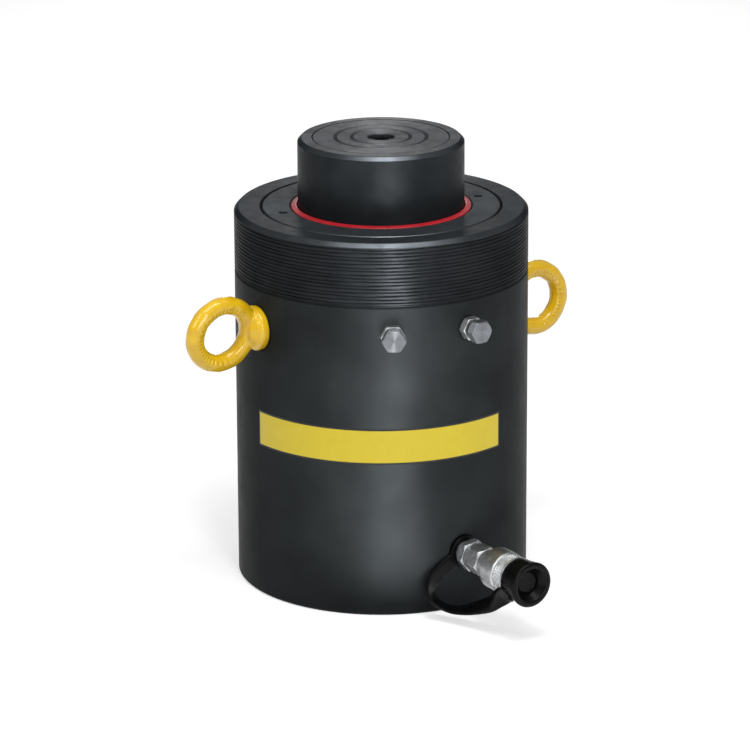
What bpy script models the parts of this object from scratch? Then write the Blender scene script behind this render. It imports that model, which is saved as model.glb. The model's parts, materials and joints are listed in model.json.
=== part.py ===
"""High tonnage hydraulic cylinder with a collar thread, two lifting eyes and a capped coupler.

Metres, +Z up.  The origin is the centre of the base face.  The coupler points along -Y and the
lifting eyes stand out along +X and -X.  The plunger is drawn part way out of the bore.
"""
import math

import bmesh
import bpy
from mathutils import Matrix, Vector

MM = 0.001
GAP = 0.3 * MM                      # seating clearance between faces that touch
SLIVER = 0.02 * MM                  # edges shorter than this are closed up after a cut
OVERRUN = 1 * MM                    # how far a cutter or a joined piece runs past the face it meets
EDGE_BREAK = 1 * MM                 # chamfer on small turned edges
HEX_BREAK = 1.2 * MM                # turned corners of the small hexagons
HEX_FACE_LAND = 0.2 * MM            # the turned face of a hexagon ends this far inside its flats
FLAT_MARGIN = 0.8 * MM              # rim of milled flat left round a fitting
HOLE_SPARE = 2 * MM                 # depth left past the end of a screwed shank

# Driving sizes of the pressure casing
BODY_DIAMETER = 275 * MM
BORE_DIAMETER = 210 * MM
BASE_THICKNESS = 47.5 * MM
BORE_FLOOR_FILLET = 3 * MM
RIM_CHAMFER = 4 * MM
FOOT_CHAMFER = 2.2 * MM
COLLAR_THREAD_LENGTH = 59 * MM      # measured down from the rim
THREAD_RELIEF_WIDTH = 2.0 * MM
THREAD_RELIEF_DEPTH = 1.1 * MM
DRILL_BREAK_IN = 3 * MM             # how far inside the bore wall each radial drilling starts

# Plunger, piston and their travel
PLUNGER_DIAMETER = 155.6 * MM
PISTON_HEIGHT = 95.4 * MM
STROKE = 150 * MM
SHOWN_EXTENSION = 62 * MM           # how far out the plunger stands as drawn
RETRACTED_PROUD = 3 * MM            # saddle above the rim with the plunger home
PLUNGER_CHAMFER = 3.6 * MM
SPIGOT_DIAMETER = 120 * MM
SPIGOT_CHAMFER = 2 * MM
PISTON_BORE_CLEARANCE = 0.8 * MM    # piston metal to bore, the guide rings run closer
PISTON_RELIEF_HEIGHT = 17 * MM      # lets oil in from the port with the piston down
PISTON_RELIEF_DEPTH = 8 * MM
PISTON_LAND = 5 * MM
SEAL_HEIGHT = 9 * MM
SEAL_DEPTH = 7.5 * MM
BACKUP_HEIGHT = 3 * MM
GUIDE_HEIGHT = 14 * MM
GUIDE_DEPTH = 3 * MM
RING_CUT = 4 * MM                   # gap at the ends of the split bearing bands
PISTON_NUT_DIAMETER = 156 * MM
PISTON_NUT_HEIGHT = 16 * MM
PISTON_NUT_SUNK = 2 * MM
PISTON_NUT_WRENCH_HOLE = 9 * MM
PISTON_NUT_HOLE_ANGLE = math.radians(45)
PISTON_O_RING_SECTION = 4 * MM
PISTON_O_RING_RISE = 30 * MM        # above the nut, where the spigot seals

# Stop ring, wiper, bearing and static seal
STOP_RING_DIAMETER = 224 * MM
STOP_RING_HEIGHT = 64.5 * MM
STOP_RING_CHAMFER = 1.4 * MM
SPANNER_HOLE_DIAMETER = 8 * MM
SPANNER_HOLE_DEPTH = 12 * MM
SPANNER_HOLE_RADIUS = 95 * MM
SPANNER_HOLE_ANGLE = math.radians(74)
WIPER_WIDTH = 6 * MM
WIPER_HEIGHT = 11 * MM
WIPER_LIP = 1.2 * MM
BEARING_HEIGHT = 22 * MM
BEARING_THICKNESS = 3 * MM
BEARING_RISE = 10 * MM              # above the underside of the stop ring
STATIC_O_RING_SECTION = 3.5 * MM
STATIC_O_RING_RISE = 6 * MM

# Saddle and its screw
SADDLE_DIAMETER = 128 * MM
SADDLE_THICKNESS = 22 * MM
SADDLE_GROOVE_RADII = (27.3 * MM, 42.6 * MM)
SADDLE_GROOVE_WIDTH = 3.6 * MM
SADDLE_GROOVE_DEPTH = 1.8 * MM
SADDLE_EDGE_BREAK = 0.8 * MM
SADDLE_SCREW_HEAD = 24 * MM
SADDLE_SCREW_HEAD_HEIGHT = 14.5 * MM
SADDLE_SCREW_SHANK = 16 * MM
SADDLE_SCREW_GRIP = 28 * MM         # length of shank below the saddle
SADDLE_SCREW_SUNK = 2.5 * MM
SADDLE_SCREW_SOCKET = 14 * MM
SADDLE_SCREW_SOCKET_DEPTH = 8 * MM
SADDLE_SCREW_SOCKET_LEAD = 0.5 * MM

# Lifting eyes
EYE_WIRE = 17 * MM
EYE_OPENING = 40 * MM
EYE_FLANGE_DIAMETER = 42 * MM
EYE_FLANGE_HEIGHT = 13 * MM
EYE_NECK_DIAMETER = 26 * MM
EYE_CENTRE_HEIGHT = 40 * MM         # from the seat to the middle of the ring
EYE_SHANK = 20 * MM
EYE_SHANK_LEAD = 1.5 * MM
EYE_FLANGE_EDGE = 7 * MM            # straight edge of the flange before it rounds off
EYE_FLANGE_ROUND = 3 * MM
EYE_NECK_SUNK = 5.7 * MM            # how far the neck runs into the wire of the ring
EYE_HOLE_WALL = 7 * MM              # wall kept between the blind hole and the bore
EYE_WIRE_FACETS = 8
EYE_RING_FACETS = 24
LEFT_EYE_DROP = 97 * MM             # below the rim
RIGHT_EYE_DROP = 120 * MM
LEFT_EYE_TWIST = math.radians(-8)   # how far the ring stands off the upright when tight
RIGHT_EYE_TWIST = math.radians(-2)

# Vent fittings, above and to the left of the coupler
VENT_ANGLES = (math.radians(2), math.radians(-29))
VENT_DROP = 21.2 * MM               # below the underside of the stop ring
VENT_HEX = 20 * MM
VENT_HEX_TURN = math.radians(30)    # from corner up to flat up
VENT_THREAD = 13.2 * MM
VENT_WASHER_THICKNESS = 1.6 * MM
VENT_BASE_LENGTH = 8 * MM
VENT_NECK_DIAMETER = 15 * MM
VENT_NECK_LENGTH = 1.8 * MM
VENT_HEAD_LENGTH = 9 * MM
VENT_SCREW = 9.6 * MM
VENT_SCREW_LENGTH = 14 * MM
VENT_HEAD_BREAK = 1.4 * MM
VENT_SEAL_THICKNESS = 1.5 * MM
VENT_DRILLING = 5 * MM

# Port, nipple and coupler
PORT_ABOVE_FLOOR = 8.5 * MM
PORT_DRILLING = 10 * MM
PORT_THREAD = 17.1 * MM
PORT_THREAD_LENGTH = 12 * MM
STRAP_RING_DIAMETER = 31 * MM
STRAP_RING_THICKNESS = 5 * MM
NIPPLE_HEX = 27 * MM
NIPPLE_HEX_LENGTH = 10.2 * MM
NIPPLE_TAPER = (12 * MM, 4 * MM)    # cone at the back of its hexagon: radius at its foot, and length
NIPPLE_SHOULDER = 22 * MM           # the round part that holds the strap's ring
NIPPLE_SHOULDER_LENGTH = 4 * MM
NIPPLE_BORE = 9 * MM
COUPLER_HEX = 26 * MM
COUPLER_HEX_TURN = math.radians(-20)    # both hexagons as they ended up when tight
COUPLER_HEX_LENGTH = 21 * MM
COUPLER_HEX_BREAK = 2 * MM
COUPLER_TAPER = (12.2 * MM, 7 * MM)     # cone at the back of the hexagon: radius at its foot, and length
COUPLER_BARREL_SUNK = 8 * MM        # the round barrel starts this far inside the hexagon
COUPLER_NECK = 25 * MM
COUPLER_NECK_LENGTH = 17.7 * MM
COUPLER_FLANGE = 29.4 * MM
COUPLER_FLANGE_LENGTH = 6 * MM
COUPLER_NOSE = 24.8 * MM
COUPLER_NOSE_LENGTH = 26 * MM
COUPLER_MOUTH = 19.2 * MM
COUPLER_MOUTH_DEPTH = 10 * MM
COUPLER_SEAT_LENGTH = 8 * MM
COLLAR_DIAMETER = 39.4 * MM
COLLAR_BACK_WALL = 1.8 * MM
COLLAR_SHOULDER = 9.5 * MM          # from the back of the collar to the step that catches the flange
COLLAR_CONE_LENGTH = 6.8 * MM
COLLAR_BAND_LENGTH = 19 * MM
COLLAR_GRIP_DIAMETER = 37.6 * MM    # the knurled band in front of the smooth one
COLLAR_GRIP_LENGTH = 14.5 * MM
COLLAR_RIM_DIAMETER = 38.8 * MM     # the plain rim that ends the knurled band
COLLAR_RIM_WIDTH = 2 * MM
COLLAR_SLEEVE = 33 * MM             # the part that the dust cap covers
COLLAR_SLEEVE_LENGTH = 9.8 * MM
COLLAR_THREAD_BORE = 30.4 * MM
SNAP_RING_WIRE = 1.4 * MM
SNAP_RING_CUT = 5 * MM
POPPET_DIAMETER = 12 * MM
POPPET_FLANGE = 16.8 * MM
POPPET_FLANGE_LENGTH = 5 * MM
POPPET_TAIL = 6 * MM
POPPET_TAIL_LENGTH = 12 * MM
POPPET_CHAMBER = 17.6 * MM
POPPET_CHAMBER_LENGTH = 26 * MM
POPPET_O_RING = 1.1 * MM
SPRING_WIRE = 1.6 * MM
SPRING_COIL = 11 * MM
SPRING_TURNS = 5
SPRING_DEAD_TURNS = 0.75            # closed coils at each end
SPRING_STEPS = 8                    # points to a turn

# Dust cap and its strap
CAP_SLEEVE = 37.6 * MM              # outside diameter at the back, from where it flares to the lip
CAP_LIP = 43.2 * MM
CAP_LENGTH = 23.5 * MM
CAP_WEB = 4 * MM
CAP_FUNNEL_MOUTH = 33 * MM
CAP_FUNNEL_THROAT = 21 * MM
CAP_FUNNEL_DEPTH = 7 * MM
CAP_BOSS = 18.4 * MM
CAP_BOSS_LENGTH = 12.5 * MM
CAP_LIP_ROUND = 2 * MM
STRAP_WIDTH = 15 * MM
STRAP_THICKNESS = 3 * MM
STRAP_STEPS = 2                     # stretches of its mesh between two points of its route
# The strap's route after its ring: right of the coupler axis, out from the port seat, above the axis
STRAP_ROUTE_MM = (
    (-12.0, 2.8, -7.0), (-20.5, 2.8, -11.5), (-28.5, 3.2, -17.0), (-35.6, 3.8, -23.5),
    (-40.0, 5.8, -31.0), (-39.5, 10.5, -37.6), (-34.8, 18.5, -42.4), (-28.6, 30.0, -43.8),
    (-23.6, 45.0, -40.4), (-20.6, 60.0, -34.6), (-19.0, 74.0, -26.6), (-18.0, 84.0, -18.6),
    (-17.1, 93.0, -13.6), (-17.8, 102.0, -13.3))
# The way its flat face looks at each of those points, in the same directions
STRAP_FACES = (
    (0.0, 1.0, 0.0), (0.0, 1.0, 0.0), (0.05, 1.0, 0.0), (0.25, 0.95, 0.0),
    (0.5, 0.8, 0.1), (0.45, 0.55, 0.6), (0.2, 0.2, 0.95), (-0.05, 0.0, 1.0),
    (-0.25, 0.0, 0.95), (-0.35, 0.0, 0.9), (-0.2, 0.0, 0.95), (0.2, 0.0, 0.95),
    (0.55, 0.0, 0.8), (0.8, 0.0, 0.6))

# Facets round a full turn
SEG_CASING = 36
SEG_COLLAR = 24
SEG_FITTING = 16
SEG_SMALL = 12
SEAL_SQUEEZE = 0.6                  # height of a seated cord seal as a share of its width
SMOOTH_ANGLE = math.radians(32)     # edges flatter than this are shaded smooth

# Sizes that follow
BODY_RADIUS = BODY_DIAMETER / 2
BORE_RADIUS = BORE_DIAMETER / 2
PLUNGER_RADIUS = PLUNGER_DIAMETER / 2
STOP_RING_FLOOR = BASE_THICKNESS + GAP + PISTON_HEIGHT + STROKE + GAP
BODY_HEIGHT = STOP_RING_FLOOR + STOP_RING_HEIGHT
PISTON_FLOOR = BASE_THICKNESS + GAP + SHOWN_EXTENSION
PLUNGER_TOP = BODY_HEIGHT + RETRACTED_PROUD + SHOWN_EXTENSION
PORT_HEIGHT = BASE_THICKNESS + PORT_ABOVE_FLOOR
VENT_HEIGHT = STOP_RING_FLOOR - VENT_DROP
HEX_CORNER = 2 / math.sqrt(3)       # across corners over across flats


def spot_face_distance(radius):
    """Distance from the cylinder axis to a flat that is clean out to the given radius."""
    return math.sqrt(BODY_RADIUS ** 2 - radius ** 2) - GAP


PORT_FLAT = STRAP_RING_DIAMETER + 2 * FLAT_MARGIN
VENT_FLAT = VENT_HEX * HEX_CORNER + 2 * FLAT_MARGIN
EYE_FLAT = EYE_FLANGE_DIAMETER + 2 * FLAT_MARGIN
PORT_SEAT = spot_face_distance(PORT_FLAT / 2)
VENT_SEAT = spot_face_distance(VENT_FLAT / 2)
EYE_SEAT = spot_face_distance(EYE_FLAT / 2)


def material(name, colour, roughness, metallic):
    """A Principled material of one colour, given as red, green, blue and roughness and metal."""
    mat = bpy.data.materials.new(name)
    mat.use_nodes = True
    shader = mat.node_tree.nodes["Principled BSDF"]
    shader.inputs["Base Color"].default_value = (*colour, 1.0)
    shader.inputs["Roughness"].default_value = roughness
    shader.inputs["Metallic"].default_value = metallic
    mat.diffuse_color = (*colour, 1.0)
    return mat


FINISHES = {
    "painted_steel": ((0.030, 0.032, 0.035), 0.38, 0.2),
    "blackened_steel": ((0.018, 0.018, 0.020), 0.32, 0.6),
    "machined_steel": ((0.32, 0.33, 0.34), 0.30, 1.0),
    "zinc_plated_steel": ((0.62, 0.63, 0.64), 0.28, 1.0),
    "yellow_enamel": ((0.78, 0.49, 0.02), 0.30, 0.0),
    "red_polyurethane": ((0.60, 0.02, 0.03), 0.35, 0.0),
    "blue_polyurethane": ((0.03, 0.10, 0.32), 0.40, 0.0),
    "white_acetal": ((0.75, 0.74, 0.70), 0.35, 0.0),
    "bronze": ((0.50, 0.29, 0.11), 0.35, 1.0),
    "black_rubber": ((0.012, 0.012, 0.012), 0.55, 0.0),
    "spring_steel": ((0.28, 0.28, 0.29), 0.30, 1.0),
}


def finish_object(obj, finish, parent=None):
    """Name the material after its object, shade the rounds smooth and hang it under its parent."""
    colour, roughness, metallic = FINISHES[finish]
    obj.data.materials.clear()
    obj.data.materials.append(material(obj.name + "_" + finish, colour, roughness, metallic))
    if obj.type == "MESH":
        obj.data.shade_smooth()
        obj.data.set_sharp_from_angle(angle=SMOOTH_ANGLE)
    obj.parent = parent
    return obj


def mesh_object(name, bm):
    """Close off a bmesh as a new object with its faces pointing out."""
    bmesh.ops.remove_doubles(bm, verts=bm.verts[:], dist=1e-6)
    bmesh.ops.recalc_face_normals(bm, faces=bm.faces[:])
    mesh = bpy.data.meshes.new(name)
    bm.to_mesh(mesh)
    bm.free()
    obj = bpy.data.objects.new(name, mesh)
    bpy.context.scene.collection.objects.link(obj)
    return obj


def turned(name, profile, segments):
    """Spin a profile of (radius, height) points about Z.

    A profile that starts and ends on the axis closes itself there.  Any other is a closed loop
    and gives a ring.
    """
    bm = bmesh.new()
    verts = [bm.verts.new((r, 0, z)) for r, z in profile]
    edges = [bm.edges.new(pair) for pair in zip(verts, verts[1:])]
    if profile[0][0] > 0:
        edges.append(bm.edges.new((verts[-1], verts[0])))
    bmesh.ops.spin(bm, geom=verts + edges, axis=(0, 0, 1), cent=(0, 0, 0), angle=2 * math.pi, steps=segments)
    return mesh_object(name, bm)


def split_ring(name, profile, segments, cut):
    """A turned ring sawn through on its -X side, so that it can spring open."""
    ring = turned(name, profile, segments)
    radii = [r for r, _ in profile]
    heights = [z for _, z in profile]
    size = (max(radii) - min(radii) + 2 * OVERRUN, cut, max(heights) - min(heights) + 2 * OVERRUN)
    middle = (-(max(radii) + min(radii)) / 2, 0, (max(heights) + min(heights)) / 2)
    bm = bmesh.new()
    bmesh.ops.create_cube(bm, size=1, matrix=Matrix.Translation(middle) @ Matrix.Diagonal((*size, 1)))
    return combine(ring, mesh_object("saw_cut", bm), "DIFFERENCE")


def hexagon(name, flats, start, end, edge_break, turn=0.0, taper=None):
    """A six sided bar along Z, a corner up before the turn, with its corners turned off like a nut's.

    taper gives a cone at the start instead: the radius at its foot and its length.
    """
    corner = flats * HEX_CORNER / 2
    bm = bmesh.new()
    place = Matrix.Translation((0, 0, (start + end) / 2)) @ Matrix.Rotation(turn, 4, "Z")
    bmesh.ops.create_cone(bm, cap_ends=True, segments=6, radius1=corner, radius2=corner,
                          depth=end - start, matrix=place)
    obj = mesh_object(name, bm)
    inner = flats / 2 - HEX_FACE_LAND
    foot, rise = taper or (inner, edge_break)
    limit = [(0, start), (foot, start), (corner + GAP, start + rise),
             (corner + GAP, end - edge_break), (inner, end), (0, end)]
    return combine(obj, turned(name + "_turning", limit, SEG_FITTING), "INTERSECT")


def combine(obj, tool, operation):
    """Join, cut or intersect obj with tool by an exact Boolean, then remove the tool."""
    mod = obj.modifiers.new(operation.lower(), "BOOLEAN")
    mod.operation = operation
    mod.solver = "EXACT"
    mod.object = tool
    bpy.context.view_layer.update()
    graph = bpy.context.evaluated_depsgraph_get()
    mesh = bpy.data.meshes.new_from_object(obj.evaluated_get(graph))
    obj.modifiers.clear()
    obj.data = mesh
    mesh.name = obj.name
    bm = bmesh.new()
    bm.from_mesh(mesh)
    bmesh.ops.dissolve_degenerate(bm, edges=bm.edges[:], dist=SLIVER)
    bm.to_mesh(mesh)
    bm.free()
    bpy.data.objects.remove(tool, do_unlink=True)
    return obj


def bar(name, diameter, start, end, segments=SEG_FITTING):
    """A plain round bar along Z, used to drill holes."""
    return turned(name, [(0, start), (diameter / 2, start), (diameter / 2, end), (0, end)], segments)


def drill(body, frame, *steps):
    """Cut a stepped radial hole from outside, each step a diameter and the distance it starts at."""
    outside = BODY_RADIUS + OVERRUN
    profile = [(0, steps[0][1])]
    for (diameter, start), (_, end) in zip(steps, steps[1:] + ((0, outside),)):
        profile += [(diameter / 2, start), (diameter / 2, end)]
    profile.append((0, outside))
    tool = turned("drill", profile, SEG_FITTING)
    tool.matrix_world = frame
    combine(body, tool, "DIFFERENCE")


def radial_frame(angle, height, twist=0.0):
    """A frame on the cylinder axis whose Z points out, angle being round from -Y towards +X.

    Its X lies along the rim and its Y points up before the twist.
    """
    out = Vector((math.sin(angle), -math.cos(angle), 0))
    up = Vector((0, 0, 1))
    side = up.cross(out)
    basis = Matrix((side, up, out)).transposed().to_4x4()
    return Matrix.Translation((0, 0, height)) @ basis @ Matrix.Rotation(twist, 4, "Z")


def empty(name, frame):
    """An empty that carries a group of pieces."""
    obj = bpy.data.objects.new(name, None)
    obj.empty_display_size = 20 * MM
    bpy.context.scene.collection.objects.link(obj)
    obj.matrix_world = frame
    return obj


def groove(radius, low, high, depth, outward=True):
    """Profile points of a square groove that cuts depth into the wall at radius, low to high."""
    floor = radius - depth if outward else radius + depth
    return [(radius, low), (floor, low), (floor, high), (radius, high)]


def stop_ring_levels():
    """Heights of the grooves in the stop ring, low and high for each."""
    bearing = STOP_RING_FLOOR + BEARING_RISE
    static = STOP_RING_FLOOR + STATIC_O_RING_RISE
    return {
        "bearing": (bearing, bearing + BEARING_HEIGHT),
        "static": (static, static + STATIC_O_RING_SECTION + 2 * GAP),
        "wiper": (BODY_HEIGHT - WIPER_HEIGHT, BODY_HEIGHT),
    }


def build_body():
    """The casing: one forging, bored from the top, threaded outside at the rim."""
    band = BODY_HEIGHT - COLLAR_THREAD_LENGTH
    seat = STOP_RING_DIAMETER / 2 + GAP
    relief = BODY_RADIUS - THREAD_RELIEF_DEPTH
    profile = [
        (0, 0), (BODY_RADIUS - FOOT_CHAMFER, 0), (BODY_RADIUS, FOOT_CHAMFER),
        (BODY_RADIUS, band - THREAD_RELIEF_WIDTH),
        (relief, band - THREAD_RELIEF_WIDTH + THREAD_RELIEF_DEPTH),
        (relief, band), (BODY_RADIUS, band + THREAD_RELIEF_DEPTH),
        (BODY_RADIUS, BODY_HEIGHT - RIM_CHAMFER), (BODY_RADIUS - RIM_CHAMFER, BODY_HEIGHT),
        (seat + STOP_RING_CHAMFER, BODY_HEIGHT), (seat, BODY_HEIGHT - STOP_RING_CHAMFER),
        (seat, STOP_RING_FLOOR - GAP), (BORE_RADIUS, STOP_RING_FLOOR - GAP),
        (BORE_RADIUS, BASE_THICKNESS + BORE_FLOOR_FILLET), (BORE_RADIUS - BORE_FLOOR_FILLET, BASE_THICKNESS),
        (0, BASE_THICKNESS)]
    body = turned("cylinder_body", profile, SEG_CASING)

    inside = BORE_RADIUS - DRILL_BREAK_IN
    drill(body, radial_frame(0, PORT_HEIGHT), (PORT_DRILLING, inside),
          (PORT_THREAD + 2 * GAP, PORT_SEAT - PORT_THREAD_LENGTH - HOLE_SPARE), (PORT_FLAT, PORT_SEAT))
    for angle in VENT_ANGLES:
        drill(body, radial_frame(angle, VENT_HEIGHT), (VENT_DRILLING, inside),
              (VENT_THREAD + 2 * GAP, VENT_SEAT - VENT_SCREW_LENGTH - HOLE_SPARE), (VENT_FLAT, VENT_SEAT))
    for side, drop in ((-1, LEFT_EYE_DROP), (1, RIGHT_EYE_DROP)):
        drill(body, radial_frame(side * math.pi / 2, BODY_HEIGHT - drop),
              (EYE_SHANK + 2 * GAP, BORE_RADIUS + EYE_HOLE_WALL), (EYE_FLAT, EYE_SEAT))
    return finish_object(body, "painted_steel")


def build_stop_ring():
    """The ring that screws into the mouth, guides the plunger and stops the piston."""
    level = stop_ring_levels()
    outer = STOP_RING_DIAMETER / 2
    inner = PLUNGER_RADIUS + GAP
    top = BODY_HEIGHT
    low, high = level["static"]
    profile = [(inner, STOP_RING_FLOOR), (outer, STOP_RING_FLOOR)]
    profile += groove(outer, low, high, STATIC_O_RING_SECTION)
    profile += [(outer, top - STOP_RING_CHAMFER), (outer - STOP_RING_CHAMFER, top)]
    wiper_seat = inner + WIPER_WIDTH + GAP
    low, high = level["wiper"]
    profile += [(wiper_seat + STOP_RING_CHAMFER, top), (wiper_seat, top - STOP_RING_CHAMFER),
                (wiper_seat, low), (inner, low)]
    low, high = level["bearing"]
    profile += groove(inner, high, low, BEARING_THICKNESS, outward=False)
    ring = turned("stop_ring", profile, SEG_CASING)
    for angle in (SPANNER_HOLE_ANGLE, SPANNER_HOLE_ANGLE + math.pi):
        hole = bar("spanner_hole", SPANNER_HOLE_DIAMETER, top - SPANNER_HOLE_DEPTH, top + OVERRUN, SEG_SMALL)
        hole.location = (SPANNER_HOLE_RADIUS * math.sin(angle), -SPANNER_HOLE_RADIUS * math.cos(angle), 0)
        combine(ring, hole, "DIFFERENCE")
    return finish_object(ring, "blackened_steel")


def build_stop_ring_seals():
    """Wiper, split bearing band and the static seal that sit in the stop ring."""
    level = stop_ring_levels()
    inner = PLUNGER_RADIUS + GAP
    low, high = level["wiper"]
    wiper = [(inner + WIPER_LIP, low + GAP), (inner + WIPER_WIDTH, low + GAP),
             (inner + WIPER_WIDTH, high), (inner + WIPER_LIP, high + WIPER_LIP), (inner, high)]
    finish_object(turned("wiper_seal", wiper, SEG_CASING), "red_polyurethane")
    low, high = level["bearing"]
    outer = inner + BEARING_THICKNESS - GAP
    band = [(inner, low + GAP), (outer, low + GAP), (outer, high - GAP), (inner, high - GAP)]
    finish_object(split_ring("rod_bearing", band, SEG_CASING, RING_CUT), "bronze")
    low, high = level["static"]
    outer = STOP_RING_DIAMETER / 2
    middle = outer - STATIC_O_RING_SECTION / 2 + GAP / 2
    half = STATIC_O_RING_SECTION / 2 - GAP / 2
    finish_object(turned("stop_ring_o_ring", seal_section(middle, (low + high) / 2, half), SEG_CASING),
                  "black_rubber")


def seal_section(radius, height, half):
    """A cord section squeezed flat against its groove and its bore."""
    flat = half * SEAL_SQUEEZE
    return [(radius - half, height - flat), (radius + half, height - flat),
            (radius + half, height + flat), (radius - half, height + flat)]


def piston_levels():
    """Heights on the piston above its own underside."""
    seal = PISTON_RELIEF_HEIGHT + PISTON_LAND
    lower = seal + SEAL_HEIGHT + BACKUP_HEIGHT + 3 * GAP + PISTON_LAND
    upper = PISTON_HEIGHT - PISTON_LAND - GUIDE_HEIGHT
    return {"seal": seal, "lower": lower, "upper": upper}


def build_plunger(group):
    """The ground rod, stepped at the foot for the piston and sunk at the top for the saddle."""
    base = PISTON_NUT_HEIGHT + GAP
    spigot = SPIGOT_DIAMETER / 2
    top = PLUNGER_TOP - PISTON_FLOOR
    recess = SADDLE_DIAMETER / 2 + GAP
    seat = top - SADDLE_THICKNESS - GAP
    tapped = SADDLE_SCREW_SHANK / 2 + GAP
    depth = seat - SADDLE_SCREW_GRIP - HOLE_SPARE
    foot = PISTON_NUT_SUNK
    profile = [(0, foot), (spigot - SPIGOT_CHAMFER, foot), (spigot, foot + SPIGOT_CHAMFER),
               (spigot, PISTON_HEIGHT - PISTON_LAND), (PLUNGER_RADIUS, PISTON_HEIGHT - PISTON_LAND)]
    profile += [(PLUNGER_RADIUS, top - PLUNGER_CHAMFER), (PLUNGER_RADIUS - PLUNGER_CHAMFER, top),
                (recess, top), (recess, seat), (tapped, seat), (tapped, depth), (0, depth)]
    plunger = turned("plunger", profile, SEG_CASING)
    low = base + PISTON_O_RING_RISE
    high = low + PISTON_O_RING_SECTION + 2 * GAP
    floor = spigot - PISTON_O_RING_SECTION
    cut = [(spigot + OVERRUN, low), (floor, low), (floor, high), (spigot + OVERRUN, high)]
    combine(plunger, turned("o_ring_groove", cut, SEG_CASING), "DIFFERENCE")
    finish_object(plunger, "blackened_steel", group)
    middle = spigot - PISTON_O_RING_SECTION / 2 + GAP / 2
    half = PISTON_O_RING_SECTION / 2 - GAP / 2
    height = low + PISTON_O_RING_SECTION / 2 + GAP
    finish_object(turned("piston_o_ring", seal_section(middle, height, half), SEG_CASING),
                  "black_rubber", group)


def build_piston(group):
    """The piston ring with its relief, seal groove and two guide ring grooves."""
    level = piston_levels()
    outer = BORE_RADIUS - PISTON_BORE_CLEARANCE
    relief = outer - PISTON_RELIEF_DEPTH
    bore = SPIGOT_DIAMETER / 2 + GAP
    sink = PISTON_NUT_DIAMETER / 2 + GAP
    step = PISTON_HEIGHT - PISTON_LAND - GAP
    profile = [(sink, 0), (relief, 0), (relief, PISTON_RELIEF_HEIGHT - PISTON_RELIEF_DEPTH / 2),
               (outer, PISTON_RELIEF_HEIGHT)]
    seal_high = level["seal"] + SEAL_HEIGHT + BACKUP_HEIGHT + 3 * GAP
    profile += groove(outer, level["seal"], seal_high, SEAL_DEPTH)
    for name in ("lower", "upper"):
        profile += groove(outer, level[name], level[name] + GUIDE_HEIGHT + 2 * GAP, GUIDE_DEPTH)
    profile += [(outer, PISTON_HEIGHT - EDGE_BREAK), (outer - EDGE_BREAK, PISTON_HEIGHT),
                (PLUNGER_RADIUS + GAP, PISTON_HEIGHT),
                (PLUNGER_RADIUS + GAP, step), (bore, step), (bore, PISTON_NUT_HEIGHT + GAP),
                (sink, PISTON_NUT_HEIGHT + GAP)]
    finish_object(turned("piston", profile, SEG_CASING), "machined_steel", group)


def build_piston_rings(group):
    """Lip seal, back-up ring and the two split guide rings that run in the bore."""
    level = piston_levels()
    outer = BORE_RADIUS - GAP
    metal = BORE_RADIUS - PISTON_BORE_CLEARANCE
    inner = metal - SEAL_DEPTH + 2 * GAP
    low = level["seal"] + GAP
    high = low + SEAL_HEIGHT
    notch = (inner + outer) / 2
    seal = [(inner, low), (notch, low + SEAL_HEIGHT / 2), (outer, low), (outer - GAP, high), (inner, high)]
    finish_object(turned("piston_seal", seal, SEG_CASING), "blue_polyurethane", group)
    low = high + GAP
    high = low + BACKUP_HEIGHT
    backup = [(inner, low), (outer - GAP / 2, low), (outer - GAP / 2, high), (inner, high)]
    finish_object(turned("piston_backup_ring", backup, SEG_CASING), "white_acetal", group)
    inner = metal - GUIDE_DEPTH + 2 * GAP
    for name in ("lower", "upper"):
        low = level[name] + GAP
        high = low + GUIDE_HEIGHT
        band = [(inner, low), (outer, low), (outer, high), (inner, high)]
        ring = split_ring("piston_guide_ring_" + name, band, SEG_CASING, RING_CUT)
        finish_object(ring, "bronze", group)


def build_piston_nut(group):
    """The ring nut in the foot of the piston, with two pin holes for its wrench."""
    outer = PISTON_NUT_DIAMETER / 2
    inner = SPIGOT_DIAMETER / 2 + GAP
    low = PISTON_NUT_SUNK
    profile = [(inner, low), (outer - EDGE_BREAK, low), (outer, low + EDGE_BREAK), (outer, PISTON_NUT_HEIGHT),
               (inner, PISTON_NUT_HEIGHT)]
    nut = turned("piston_nut", profile, SEG_CASING)
    middle = (outer + inner) / 2
    for angle in (PISTON_NUT_HOLE_ANGLE, PISTON_NUT_HOLE_ANGLE + math.pi):
        hole = bar("wrench_hole", PISTON_NUT_WRENCH_HOLE, low - OVERRUN, PISTON_NUT_HEIGHT / 2, SEG_SMALL)
        hole.location = (middle * math.cos(angle), middle * math.sin(angle), 0)
        combine(nut, hole, "DIFFERENCE")
    finish_object(nut, "machined_steel", group)


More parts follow.
